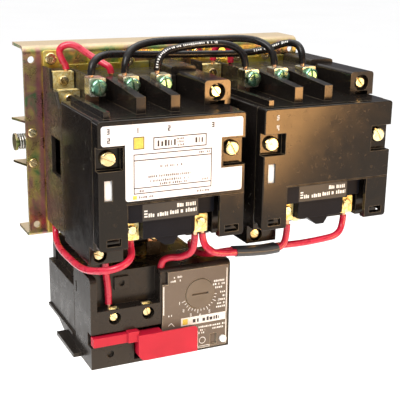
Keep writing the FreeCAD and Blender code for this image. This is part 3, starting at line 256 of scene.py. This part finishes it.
# colours are linear
BRONZE_EDGE = (0.20, 0.145, 0.085)
MATERIALS = {
    "zinc": plated("green_zinc", [(0.06, 0.14, 0.05), (0.16, 0.28, 0.10), (0.50, 0.40, 0.13),
                                  (0.38, 0.20, 0.16), (0.12, 0.25, 0.11)], 0.30, 62.0, streak=0.45,
                   edge=(0.95, 0.80, 0.34), band=(-0.0885, 0.0022, (0.40, 0.13, 0.17)),
                   # the top tone is painted top light, a tan tint on the upward faces of the zinc
                   top=(0.52, 0.42, 0.29)),
    "yellow_zinc": plated("yellow_zinc", [(0.72, 0.50, 0.06), (0.95, 0.80, 0.14), (0.80, 0.78, 0.34)],
                          0.34, 60.0, edge=(0.90, 0.82, 0.40)),
    "green_screw": plated("green_zinc_screw", [(0.14, 0.38, 0.24), (0.30, 0.56, 0.38), (0.56, 0.60, 0.36)],
                          0.24, 110.0, edge=(0.84, 0.82, 0.60)),
    "gold_screw": plated("gold_zinc_screw", [(0.52, 0.36, 0.16), (0.78, 0.62, 0.32), (0.86, 0.80, 0.56)],
                         0.24, 120.0, edge=(0.95, 0.88, 0.62)),
    "brass": plated("brass", [(0.60, 0.42, 0.12), (1.0, 0.82, 0.34), (1.0, 0.96, 0.66)], 0.50, 420.0,
                    grain=0.9, edge=(1.0, 0.94, 0.66), dimples=3.0),
    "clamp": plated("clamp_plating", [(0.55, 0.52, 0.40), (0.74, 0.70, 0.54), (0.84, 0.80, 0.68)],
                    0.28, 120.0, edge=(0.96, 0.93, 0.80)),
    "spring": plated("spring_wire", [(0.46, 0.45, 0.42), (0.62, 0.61, 0.58)], 0.30, 200.0),
    "laminations": plated("laminations", [(0.30, 0.30, 0.30), (0.44, 0.43, 0.42)], 0.42, 60.0,
                          brush=(0.05, 3.0, 0.05), grain=0.5),
    "copper": plated("copper", [(0.62, 0.30, 0.16), (0.80, 0.46, 0.28), (0.88, 0.60, 0.42)], 0.30, 90.0,
                     edge=(0.95, 0.72, 0.55)),
    "black": plastic("black_phenolic", (0.010, 0.008, 0.007), 0.17, BRONZE_EDGE, wear=0.6, grain=0.04,
                     shine=0.45),
    "cover": plastic("black_cover", (0.006, 0.005, 0.0045), 0.16, BRONZE_EDGE, wear=1.0, grain=0.02,
                     radius=0.55, shine=0.30),
    "warm": plastic("warm_black", (0.020, 0.016, 0.013), 0.26, (0.14, 0.12, 0.09), wear=0.5, grain=0.08),
    "relay": plastic("relay_moulding", (0.017, 0.014, 0.012), 0.28, (0.16, 0.13, 0.10), wear=0.5,
                     grain=0.12),
    "coil": plastic("coil_moulding", (0.008, 0.008, 0.011), 0.34, (0.07, 0.07, 0.08), wear=0.5, grain=0.10,
                    shine=0.08, tint=(0.94, 0.97, 1.0)),
    "plate": plastic("relay_plate", (0.135, 0.108, 0.086), 0.38, (0.80, 0.66, 0.44), wear=0.95, grain=0.22,
                     radius=0.45, blotch=0.12),
    "dial": plastic("dial_moulding", (0.150, 0.120, 0.090), 0.38, (0.34, 0.28, 0.20), wear=0.6, grain=0.12),
    "red": plastic("red_moulding", (0.47, 0.009, 0.032), 0.40, (0.80, 0.10, 0.14), wear=0.55, grain=0.16,
                   blotch=0.10),
    "white": plastic("white_moulding", (0.92, 0.92, 0.91), 0.38, (0.62, 0.60, 0.55), wear=0.3, blotch=0.05),
    "board": plastic("circuit_board", (0.03, 0.16, 0.07), 0.35, (0.35, 0.36, 0.20), wear=0.4),
    "label": printed("label_stock", (0.88, 0.86, 0.87), 0.40, fade=0.06),
    "red_wire": insulation("red_insulation", (0.54, 0.008, 0.036), 0.28, (0.85, 0.20, 0.30)),
    "black_wire": insulation("black_insulation", (0.007, 0.006, 0.0055), 0.26, (0.045, 0.036, 0.028),
                             coat=0.03, shine=0.26),
    "sleeve": insulation("sleeve_rubber", (0.030, 0.031, 0.034), 0.48, (0.12, 0.12, 0.12)),
    "white_ink": printed("white_ink", (0.85, 0.84, 0.80)),
    "dark_ink": printed("dark_ink", (0.030, 0.020, 0.022), fade=0.4),
    "pale_ink": printed("pale_ink", (0.15, 0.12, 0.12), fade=0.3),
    "yellow_ink": printed("yellow_ink", (0.78, 0.60, 0.10)),
    "black_ink": printed("black_ink", (0.012, 0.012, 0.012), 0.35),
}

LOOK_OF = {
    "zinc": ["channel_plate", "interlock_bracket", "interlock_slide_bar", "interlock_guide_strap"],
    "yellow_zinc": ["left_base_plate", "right_base_plate"],
    "green_screw": ["line_screws"],
    "gold_screw": ["cover_screws", "interlock_block_screws", "load_screws", "small_terminal_screws",
                   "plate_fasteners"],
    "brass": ["aux_terminal_cages", "coil_terminal_clamps", "overload_clamps"],
    "clamp": ["line_clamps"],
    "spring": ["interlock_spring", "left_return_springs", "right_return_springs", "overload_reset_spring"],
    "laminations": ["left_magnet_core", "right_magnet_core", "left_armature", "right_armature"],
    "copper": ["left_contact_bridges", "right_contact_bridges", "fixed_contacts", "conductor_straps"],
    "black": ["left_contact_housing", "right_contact_housing", "left_interlock_block",
              "right_interlock_block"],
    "cover": ["left_front_cover", "right_front_cover"],
    "warm": ["left_rear_housing", "right_rear_housing", "left_contact_carrier", "right_contact_carrier"],
    "relay": ["overload_case"],
    "coil": ["left_coil", "right_coil"],
    "plate": ["overload_faceplate"],
    "dial": ["overload_dial"],
    "red": ["overload_reset_lever"],
    "white": ["left_indicator_flag", "right_indicator_flag", "overload_test_button"],
    "board": ["overload_circuit_board"],
    "label": ["nameplate"],
    "sleeve": ["wire_sleeve"],
}
for look_name, node_names in LOOK_OF.items():
    for node_name in node_names:
        mesh = NODES[node_name].data
        mesh.materials.clear()
        mesh.materials.append(MATERIALS[look_name])


# ---------------------------------------------------------------- springs

def compress(name):
    """A coil spring gets its own copy of its mesh."""
    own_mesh(NODES[name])


for joint in frame["record"]["behaviour"]["joints"]:
    for spring in joint.get("deforming_nodes", []):
        compress(spring["node"])


# ---------------------------------------------------------------- wires

LINE_Y = -55.0
LINE_Z = 49.8
WIRE_Y = -99.0
COIL_Z = -37.7
LEFT_COIL = LEFT_X + 44.0
SLEEVE = [(0.5, -101.6, -53.9), (13.0, -101.0, -55.4), (24.5, -100.4, -56.3), (34.6, -100.0, -56.0)]
SLEEVE_REAR = [(x, y + 4.7, z) for x, y, z in SLEEVE]
JUMPER_R = 2.3
WIRE_R = 2.1
WIRES = {
    "jumper_first_to_third": (JUMPER_R, [
        (-72.0, LINE_Y, LINE_Z), (-72.0, LINE_Y, 56.5), (-64.8, -49.6, 61.4), (-51.0, -40.6, 60.8),
        (-28.0, -33.0, 58.4), (8.0, -30.6, 57.0), (38.0, -31.0, 56.2), (56.0, -34.0, 58.0),
        (65.5, -40.0, 63.0), (71.0, -48.0, 64.0), (72.1, LINE_Y, 58.5), (72.1, LINE_Y, LINE_Z)]),
    "jumper_second": (JUMPER_R, [
        (-51.0, LINE_Y, LINE_Z), (-51.0, LINE_Y, 57.5), (-45.0, -49.5, 64.6), (-32.0, -42.5, 67.2),
        (-14.0, -38.4, 67.4), (14.0, -37.8, 66.8), (34.0, -40.0, 67.4), (45.5, -46.0, 66.0),
        (51.1, LINE_Y, 59.5), (51.1, LINE_Y, LINE_Z)]),
    "jumper_third_to_first": (JUMPER_R, [
        (-30.0, LINE_Y, LINE_Z), (-30.0, LINE_Y, 56.5), (-25.0, -53.0, 62.4), (-13.0, -51.0, 64.6),
        (5.0, -49.6, 65.8), (19.0, -50.2, 65.6), (27.0, -52.8, 61.8), (30.1, LINE_Y, 55.8),
        (30.1, LINE_Y, LINE_Z)]),
    "holding_circuit_wire": (WIRE_R, [
        (-75.4, -17.1, 48.4), (-75.4, -17.1, 51.6), (-77.6, -17.0, 54.4), (-80.4, -16.3, 62.4),
        (-71.8, -18.9, 65.8), (-62.6, -24.6, 58.4), (-55.4, -31.0, 53.6), (-52.0, -34.0, 51.4),
        (-52.0, -34.0, 46.3)]),
    "lower_left_wire": (WIRE_R, [
        (-84.2, -13.0, -50.7), (-84.2, -13.0, -56.4), (-86.2, -21.0, -60.4), (-88.4, -37.0, -60.8),
        (-89.6, -62.0, -59.0), (-89.4, -84.0, -57.6), (-87.0, -100.0, -54.0), (-80.0, -109.0, -51.2),
        (-71.0, -109.4, -48.6), (-65.6, -104.4, -45.6), (-64.8, WIRE_Y, COIL_Z - 3.6),
        (-64.8, WIRE_Y, COIL_Z)]),
    "overload_control_wire": (WIRE_R, [
        (-74.2, -86.8, -83.2), (-74.2, -86.8, -71.0), (-75.6, -86.2, -61.6), (-75.6, -86.2, -53.2)]),
    "coil_link_rear": (WIRE_R, [
        (LEFT_COIL + 19.3, WIRE_Y, COIL_Z), (LEFT_COIL + 19.3, WIRE_Y, -44.6), (-25.2, -98.2, -51.6),
        (-30.4, -93.0, -55.6), (-36.8, -89.0, -55.8), (-40.8, -87.0, -59.2), (-40.8, -87.0, -66.2)]),
    "coil_link_front": (WIRE_R, [
        (LEFT_COIL + 24.1, WIRE_Y, COIL_Z), (LEFT_COIL + 24.1, WIRE_Y, -44.6), (-15.8, -102.6, -50.4),
        (-9.0, -102.4, -53.0)] + SLEEVE + [
        (39.5, WIRE_Y, -51.0), (39.5, WIRE_Y, COIL_Z)]),
    "interlock_control_wire": (WIRE_R, [
        (-14.0, -71.6, -53.2), (-14.0, -71.6, -56.7), (-13.1, -74.35, -59.9), (-9.8, -83.6, -59.8)]
        + SLEEVE_REAR + [
        (50.0, -97.0, -56.0), (63.0, -101.4, -53.6), (74.4, -103.0, -51.8), (80.7, WIRE_Y, -46.4),
        (80.7, WIRE_Y, COIL_Z)]),
    "top_control_wire": (WIRE_R, [
        (25.6, -17.1, 48.4), (25.6, -17.1, 55.0), (28.2, -18.2, 61.2), (34.0, -20.6, 61.2),
        (36.6, -21.8, 55.0), (36.6, -21.8, 46.3)]),
}
BARE_LENGTH = 1.6
CORE_PART = 0.62


def wire_curve(name, points, radius, material, body):
    """A smooth wire through its route, on one NURBS spline."""
    curve = bpy.data.curves.new(name, "CURVE")
    curve.dimensions = "3D"
    curve.resolution_u = 12
    curve.bevel_depth = 1.0
    curve.bevel_resolution = 6
    curve.use_fill_caps = True
    spline = curve.splines.new("NURBS")
    spline.points.add(len(points) - 1)
    for point, place in zip(spline.points, points):
        point.co = (*(c * MM for c in place), 1.0)
        point.radius = radius * MM
    spline.order_u = 3
    spline.use_endpoint_u = True
    curve.materials.append(material)
    made = bpy.data.objects.new(name, curve)
    bpy.context.scene.collection.objects.link(made)
    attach(made, body)
    return made


def run_length(points):
    return sum((Vector(b) - Vector(a)).length for a, b in zip(points, points[1:]))


for wire_name, (radius, route) in WIRES.items():
    black = wire_name.startswith("jumper")
    skin = wire_curve(wire_name + "_insulation", route, radius,
                      MATERIALS["black_wire" if black else "red_wire"], "frame")
    bare = BARE_LENGTH / run_length(route)
    skin.data.bevel_factor_start = bare
    skin.data.bevel_factor_end = 1.0 - bare
    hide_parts(wire_name)
    core = wire_curve(wire_name + "_strands", route, radius * CORE_PART, MATERIALS["copper"], "frame")


def bend(points, index, t):
    """A place and a direction on the wire's smooth curve, in the bend at one of its corners."""
    corner = Vector(points[index])
    start = (Vector(points[index - 1]) + corner) / 2
    end = (corner + Vector(points[index + 1])) / 2
    place = start * (1 - t) ** 2 + corner * 2 * t * (1 - t) + end * t ** 2
    return place, ((corner - start) * (1 - t) + (end - corner) * t).normalized()


def wire_print(name, wire_name, corners, seed):
    """Pale generic ink marks along a wire's front; they are no letters."""
    radius, route = WIRES[wire_name]
    rng = random.Random(seed)
    points, faces = [], []
    for index in corners:
        span = (Vector(route[index + 1]) - Vector(route[index - 1])).length / 2
        count = max(2, int(span / PRINT_PITCH))
        for k in range(count):
            place, along = bend(route, index, (k + 0.5) / count)
            if rng.random() < PRINT_GAP_SHARE:
                continue
            front = (PRINT_SIDE - along * PRINT_SIDE.dot(along)).normalized()
            across = along.cross(front)
            half = PRINT_PITCH * rng.uniform(0.22, 0.40)
            tall = rng.uniform(0.40, 0.80)
            first = len(points)
            for a, c in ((-half, -tall), (half, -tall), (half, tall), (-half, tall)):
                drop = radius - math.sqrt(radius ** 2 - c ** 2)
                points.append((place + along * a + across * c + front * (radius + 0.05 - drop * 0.5)) * MM)
            faces.append([first, first + 1, first + 2, first + 3])
    mesh = bpy.data.meshes.new(name)
    mesh.from_pydata(points, [], faces)
    mesh.materials.append(MATERIALS["white_ink"])
    made = bpy.data.objects.new(name, mesh)
    bpy.context.scene.collection.objects.link(made)
    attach(made, "frame")


PRINT_PITCH = 1.25
PRINT_GAP_SHARE = 0.16
PRINT_SIDE = Vector((-0.35, -0.80, 0.48))
wire_print("front_jumper_print", "jumper_third_to_first", (1, 2, 3, 4), 61)
wire_print("long_jumper_print", "jumper_first_to_third", (7, 8), 62)


# ---------------------------------------------------------------- printed marks

PRINT_LIFT = 0.04


class Marks:
    """Flat printed marks on one plane that faces the front, as one mesh; x and z are in millimetres."""

    def __init__(self, name, ink, y, left, body="frame", slot=None):
        self.name = name
        self.ink = ink
        self.y = y
        self.left = left
        self.body = body
        self.slot = slot
        self.points = []
        self.faces = []

    def shape(self, outline):
        start = len(self.points)
        self.points += [((self.left + x) * MM, (FRONT_Y + self.y - PRINT_LIFT) * MM, (COVER_Z + z) * MM)
                        for x, z in outline]
        self.faces.append(list(range(start, start + len(outline))))

    def bar(self, x0, x1, z0, z1):
        self.shape([(x0, z0), (x1, z0), (x1, z1), (x0, z1)])

    def frame(self, x0, x1, z0, z1, line=0.36):
        self.bar(x0, x1, z0, z0 + line)
        self.bar(x0, x1, z1 - line, z1)
        self.bar(x0, x0 + line, z0 + line, z1 - line)
        self.bar(x1 - line, x1, z0 + line, z1 - line)

    def stroke(self, start, end, line=0.35):
        (x0, z0), (x1, z1) = start, end
        length = math.hypot(x1 - x0, z1 - z0)
        nx, nz = -(z1 - z0) / length * line / 2, (x1 - x0) / length * line / 2
        self.shape([(x0 + nx, z0 + nz), (x1 + nx, z1 + nz), (x1 - nx, z1 - nz), (x0 - nx, z0 - nz)])

    def specks(self, x0, x1, z, height, seed, width=1.0, gap=0.35):
        """A row of small blocks that reads as fine print from a distance; they are no letters."""
        rng = random.Random(seed)
        x = x0
        while x < x1:
            step = width * rng.uniform(0.55, 1.25)
            if rng.random() > 0.14:
                top = z + height * rng.uniform(0.75, 1.0)
                self.bar(x, min(x + step, x1), z, top)
            x += step + gap * rng.uniform(0.7, 1.5)

    def ring(self, x, z, radius, line=0.3, sides=28):
        for i in range(sides):
            a, b = 2 * math.pi * i / sides, 2 * math.pi * (i + 1) / sides
            self.shape([(x + r * math.cos(t), z + r * math.sin(t))
                        for r, t in ((radius, a), (radius, b), (radius - line, b), (radius - line, a))])

    def numeral(self, digit, x, z, height):
        """A plain seven-segment numeral, lower left corner at x, z."""
        w, h, t = height * 0.55, height / 2, height * 0.20
        segments = {
            "a": (0, w, 2 * h - t, 2 * h), "g": (0, w, h - t / 2, h + t / 2), "d": (0, w, 0, t),
            "f": (0, t, h, 2 * h), "b": (w - t, w, h, 2 * h), "e": (0, t, 0, h), "c": (w - t, w, 0, h)}
        lit = {"1": "bc", "2": "abged", "3": "abgcd", "4": "fgbc", "5": "afgcd", "6": "afgedc"}[digit]
        for key in lit:
            a, b, c, d = segments[key]
            self.bar(x + a, x + b, z + c, z + d)

    def build(self):
        mesh = bpy.data.meshes.new(self.name)
        mesh.from_pydata(self.points, [], self.faces)
        mesh.update()
        mesh.materials.append(MATERIALS[self.ink])
        made = bpy.data.objects.new(self.name, mesh)
        bpy.context.scene.collection.objects.link(made)
        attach(made, self.body)
        return made


PLATE_Y = low_corner("nameplate")[1] - FRONT_Y
NUMERAL_HEIGHT = 3.0
POLE_Z = 66.4
RULE = 0.6

dark = Marks("nameplate_dark_print", "dark_ink", PLATE_Y, LEFT_X)
for digit, x, z in (("3", 5.0, 66.9), ("2", 5.2, 61.9), ("1", 21.6, POLE_Z), ("2", 40.6, POLE_Z),
                    ("3", 67.6, POLE_Z)):
    dark.numeral(digit, x, z, NUMERAL_HEIGHT)
dark.frame(32.0, 64.5, 56.2, 63.4, RULE)
dark.specks(34.5, 45.5, 58.0, 3.6, 5, 1.1, 0.8)
dark.specks(57.5, 62.5, 58.4, 3.4, 6, 1.1, 0.9)
dark.frame(20.3, 68.0, 31.8, 54.6, 0.55)
dark.bar(20.3, 68.0, 50.7, 51.3)
dark.bar(20.3, 68.0, 34.9, 35.45)
dark.frame(20.2, 26.7, 57.2, 64.3, RULE)
dark.build()

pale = Marks("nameplate_pale_print", "pale_ink", PLATE_Y, LEFT_X)
for x0, x1, z, seed in ((36, 50, 46.0, 1), (29, 56, 40.6, 2), (30, 54, 38.0, 3), (22, 27, 32.8, 4),
                        (36, 54, 36.0, 5), (46, 51, 61.0, 7), (46.5, 52, 59.2, 8), (47, 51, 57.4, 9),
                        (60, 66.5, 52.1, 10), (23.4, 32, 29.2, 11), (59, 67, 29.4, 12), (62, 66, 36.2, 14)):
    pale.specks(x0, x1, z, 1.35, seed, 0.7, 0.40)
pale.build()

yellow = Marks("nameplate_yellow_patches", "yellow_ink", PLATE_Y - 0.01, LEFT_X)
yellow.bar(20.7, 26.2, 57.7, 63.8)
yellow.bar(19.8, 22.2, 28.8, 31.0)
yellow.build()

cover_marks = Marks("right_cover_numerals", "white_ink", 0.0, RIGHT_X)
cover_marks.numeral("5", 7.9, 67.2, NUMERAL_HEIGHT)
cover_marks.numeral("4", 8.0, 61.2, NUMERAL_HEIGHT)
cover_marks.build()

COIL_LABEL_Y = low_corner("left_coil")[1] - FRONT_Y
for side, left in (("left", LEFT_X), ("right", RIGHT_X)):
    strip = Marks(side + "_coil_label", "black_ink", COIL_LABEL_Y, left)
    strip.bar(26.4, 60.8, 14.9, 24.7)
    strip.build()
    coil_print = Marks(side + "_coil_print", "white_ink", COIL_LABEL_Y - PRINT_LIFT, left)
    for x0, x1, z, height, seed in ((30.0, 42.0, 16.8, 2.5, 21), (43.2, 48.6, 17.2, 2.5, 25),
                                    (49.8, 59.8, 17.4, 2.5, 22), (47.6, 59.4, 21.0, 2.4, 23)):
        coil_print.specks(x0, x1, z, height, seed, 1.2)
    for z in (17.0, 18.6, 20.2):
        coil_print.bar(27.4, 29.4, z, z + 0.9)
    coil_print.build()

FACE_Y = low_corner("overload_faceplate")[1] - FRONT_Y
DIAL_X = 70.0
DIAL_Z = -41.2
TICKS = 15
TICK_R = 10.3
FIRST_TICK = 200
TICK_SPAN = 150
NUMERAL_R = 14.6
STROKE = 0.4

white = Marks("relay_white_print", "white_ink", FACE_Y, LEFT_X)
for i in range(TICKS):
    angle = math.radians(FIRST_TICK + TICK_SPAN * i / (TICKS - 1))
    outer = TICK_R + (2.6 if i % 3 == 0 else 1.5)
    white.stroke((DIAL_X + TICK_R * math.cos(angle), DIAL_Z + TICK_R * math.sin(angle)),
                 (DIAL_X + outer * math.cos(angle), DIAL_Z + outer * math.sin(angle)), STROKE)
for digit, degrees in (("1", 198), ("2", 222), ("3", 246), ("4", 272), ("5", 298), ("6", 334)):
    angle = math.radians(degrees)
    white.numeral(digit, DIAL_X + NUMERAL_R * math.cos(angle) - 0.6,
                  DIAL_Z + NUMERAL_R * math.sin(angle) - 1.0, 2.0)
white.bar(57.5, 88.6, -61.2, -56.0)
white.bar(45.6, 46.3, -52.0, -33.5)
white.bar(88.1, 88.7, -77.6, -27.0)
for x0, x1, z, seed in ((50.5, 58.0, -29.0, 31), (50.5, 57.0, -31.4, 32), (79.5, 87.0, -35.2, 33),
                        (78.8, 87.0, -37.4, 34), (80.5, 87.0, -39.6, 35), (84.0, 87.5, -43.0, 36),
                        (84.4, 87.5, -45.6, 37), (83.0, 87.5, -48.0, 38), (82.0, 87.5, -50.4, 39),
                        (81.4, 87.5, -52.6, 40), (69.5, 87.5, -64.4, 41), (69.5, 74.0, -66.6, 42),
                        (79.0, 86.5, -66.6, 43), (69.5, 76.0, -68.4, 44), (49.0, 52.0, -53.6, 45)):
    white.specks(x0, x1, z, 1.3, seed, 0.9, 0.35)
white.stroke((49.0, -59.6), (51.0, -58.0), STROKE)
white.stroke((51.0, -58.0), (53.0, -60.4), STROKE)
white.ring(72.2, -73.0, 2.3, 0.45)
white.bar(68.6, 69.2, -77.6, -66.0)
white.frame(69.4, 77.2, -78.0, -76.6, 0.3)
white.build()

face_yellow = Marks("relay_yellow_patches", "yellow_ink", FACE_Y - PRINT_LIFT, LEFT_X)
face_yellow.bar(58.6, 62.0, -60.6, -56.8)
face_yellow.build()
face_dark = Marks("relay_dark_print", "dark_ink", FACE_Y - PRINT_LIFT, LEFT_X)
face_dark.specks(65.5, 83.5, -60.0, 2.6, 46, 1.6, 0.7)
face_dark.build()


# ---------------------------------------------------------------- floor, light and camera

FLOOR_Z = -0.30
FLOOR_HALF = 40.0
SKY_STRENGTH = 1.4


def flat_sheet(name, left, right, near, far, height, material):
    """A level rectangle of the studio, which isn't part of the object."""
    mesh = bpy.data.meshes.new(name)
    mesh.from_pydata([(left, near, height), (right, near, height), (right, far, height), (left, far, height)],
                     [], [(0, 1, 2, 3)])
    mesh.materials.append(material)
    made = bpy.data.objects.new(name, mesh)
    bpy.context.scene.collection.objects.link(made)
    return made


def floor_plane():
    look = Look("pale_floor")
    shade = look.ramp(look.noise(3.0, 2.0), (0.3, (0.94, 0.94, 0.94)), (0.7, (0.96, 0.96, 0.96)))
    flat_sheet("floor", -FLOOR_HALF, FLOOR_HALF, -FLOOR_HALF, FLOOR_HALF, FLOOR_Z,
               look.finish(Base_Color=shade, Roughness=0.9))


def dark_card():
    """A black flag on the floor behind the left side, seen only in reflections, so that side stays dark."""
    look = Look("card_felt")
    shade = look.ramp(look.noise(8.0), (0.3, (0.010, 0.010, 0.010)), (0.7, (0.014, 0.014, 0.014)))
    felt = look.finish(Base_Color=shade, Roughness=1.0, Specular_IOR_Level=0.0)
    card = flat_sheet("dark_card", -1.8, -0.25, 0.15, 2.4, FLOOR_Z + 0.01, felt)
    card.visible_camera = card.visible_diffuse = card.visible_shadow = False


def area_light(name, place, target, size, power, colour=(1, 1, 1), height=None, roll=0.0):
    data = bpy.data.lights.new(name, "AREA")
    data.shape = "RECTANGLE"
    data.size = size
    data.size_y = height or size
    data.energy = power
    data.color = colour
    made = bpy.data.objects.new(name, data)
    made.location = place
    aim = (Vector(target) - Vector(place)).to_track_quat("-Z", "Y")
    made.rotation_euler = (aim @ Quaternion((0, 0, 1), roll)).to_euler()
    made.visible_camera = False
    bpy.context.scene.collection.objects.link(made)


def studio_world():
    """A soft tent of light: bright overhead and dim near the horizon, so black mouldings stay black."""
    world = bpy.data.worlds.new("studio")
    world.use_nodes = True
    tree = world.node_tree
    way = tree.nodes.new("ShaderNodeTexCoord").outputs["Generated"]
    parts = tree.nodes.new("ShaderNodeSeparateXYZ")
    tree.links.new(way, parts.inputs[0])
    ramp = tree.nodes.new("ShaderNodeValToRGB")
    tree.links.new(parts.outputs["Z"], ramp.inputs["Fac"])
    low, high = ramp.color_ramp.elements
    low.position, high.position = 0.30, 0.72
    low.color, high.color = (0.10, 0.10, 0.11, 1.0), (1.0, 1.0, 1.0, 1.0)
    background = tree.nodes["Background"]
    tree.links.new(ramp.outputs["Color"], background.inputs["Color"])
    background.inputs["Strength"].default_value = SKY_STRENGTH
    bpy.context.scene.world = world


MIDDLE = (0.0, -0.06, 0.0)
RIGHT_COVER = (0.05, -0.11, 0.02)
floor_plane()
dark_card()
studio_world()
area_light("key_light", (-0.75, -0.65, 0.95), MIDDLE, 0.7, 16.0, (1.0, 0.98, 0.95))
area_light("top_light", (0.25, 0.30, 1.05), MIDDLE, 0.9, 6.0)
area_light("warm_card", (0.310, -0.63, -0.055), RIGHT_COVER, 0.13, 2.1, (1.0, 0.56, 0.21), 0.21, -0.6)

CAMERA_PLACE = Vector((-0.2418, -0.5683, 0.1325))
LOOK_ALONG = Vector((0.40897, 0.86838, -0.28048)).normalized()
CAMERA_ROLL = math.radians(0.889)
SENSOR_MM = 36.0
LENS_MM = 82.59
level = LOOK_ALONG.cross(Vector((0, 0, 1))).normalized()
upright = level.cross(LOOK_ALONG)
right = level * math.cos(CAMERA_ROLL) + upright * math.sin(CAMERA_ROLL)
up = upright * math.cos(CAMERA_ROLL) - level * math.sin(CAMERA_ROLL)
lens = bpy.data.cameras.new("camera")
lens.sensor_width = SENSOR_MM
lens.lens = LENS_MM
lens.clip_end = 20.0
camera = bpy.data.objects.new("camera", lens)
camera.matrix_world = Matrix(((right.x, up.x, -LOOK_ALONG.x, CAMERA_PLACE.x),
                              (right.y, up.y, -LOOK_ALONG.y, CAMERA_PLACE.y),
                              (right.z, up.z, -LOOK_ALONG.z, CAMERA_PLACE.z), (0, 0, 0, 1)))
bpy.context.scene.collection.objects.link(camera)
bpy.context.scene.camera = camera
bpy.context.scene.view_settings.view_transform = "Standard"
bpy.context.scene.view_settings.look = "None"
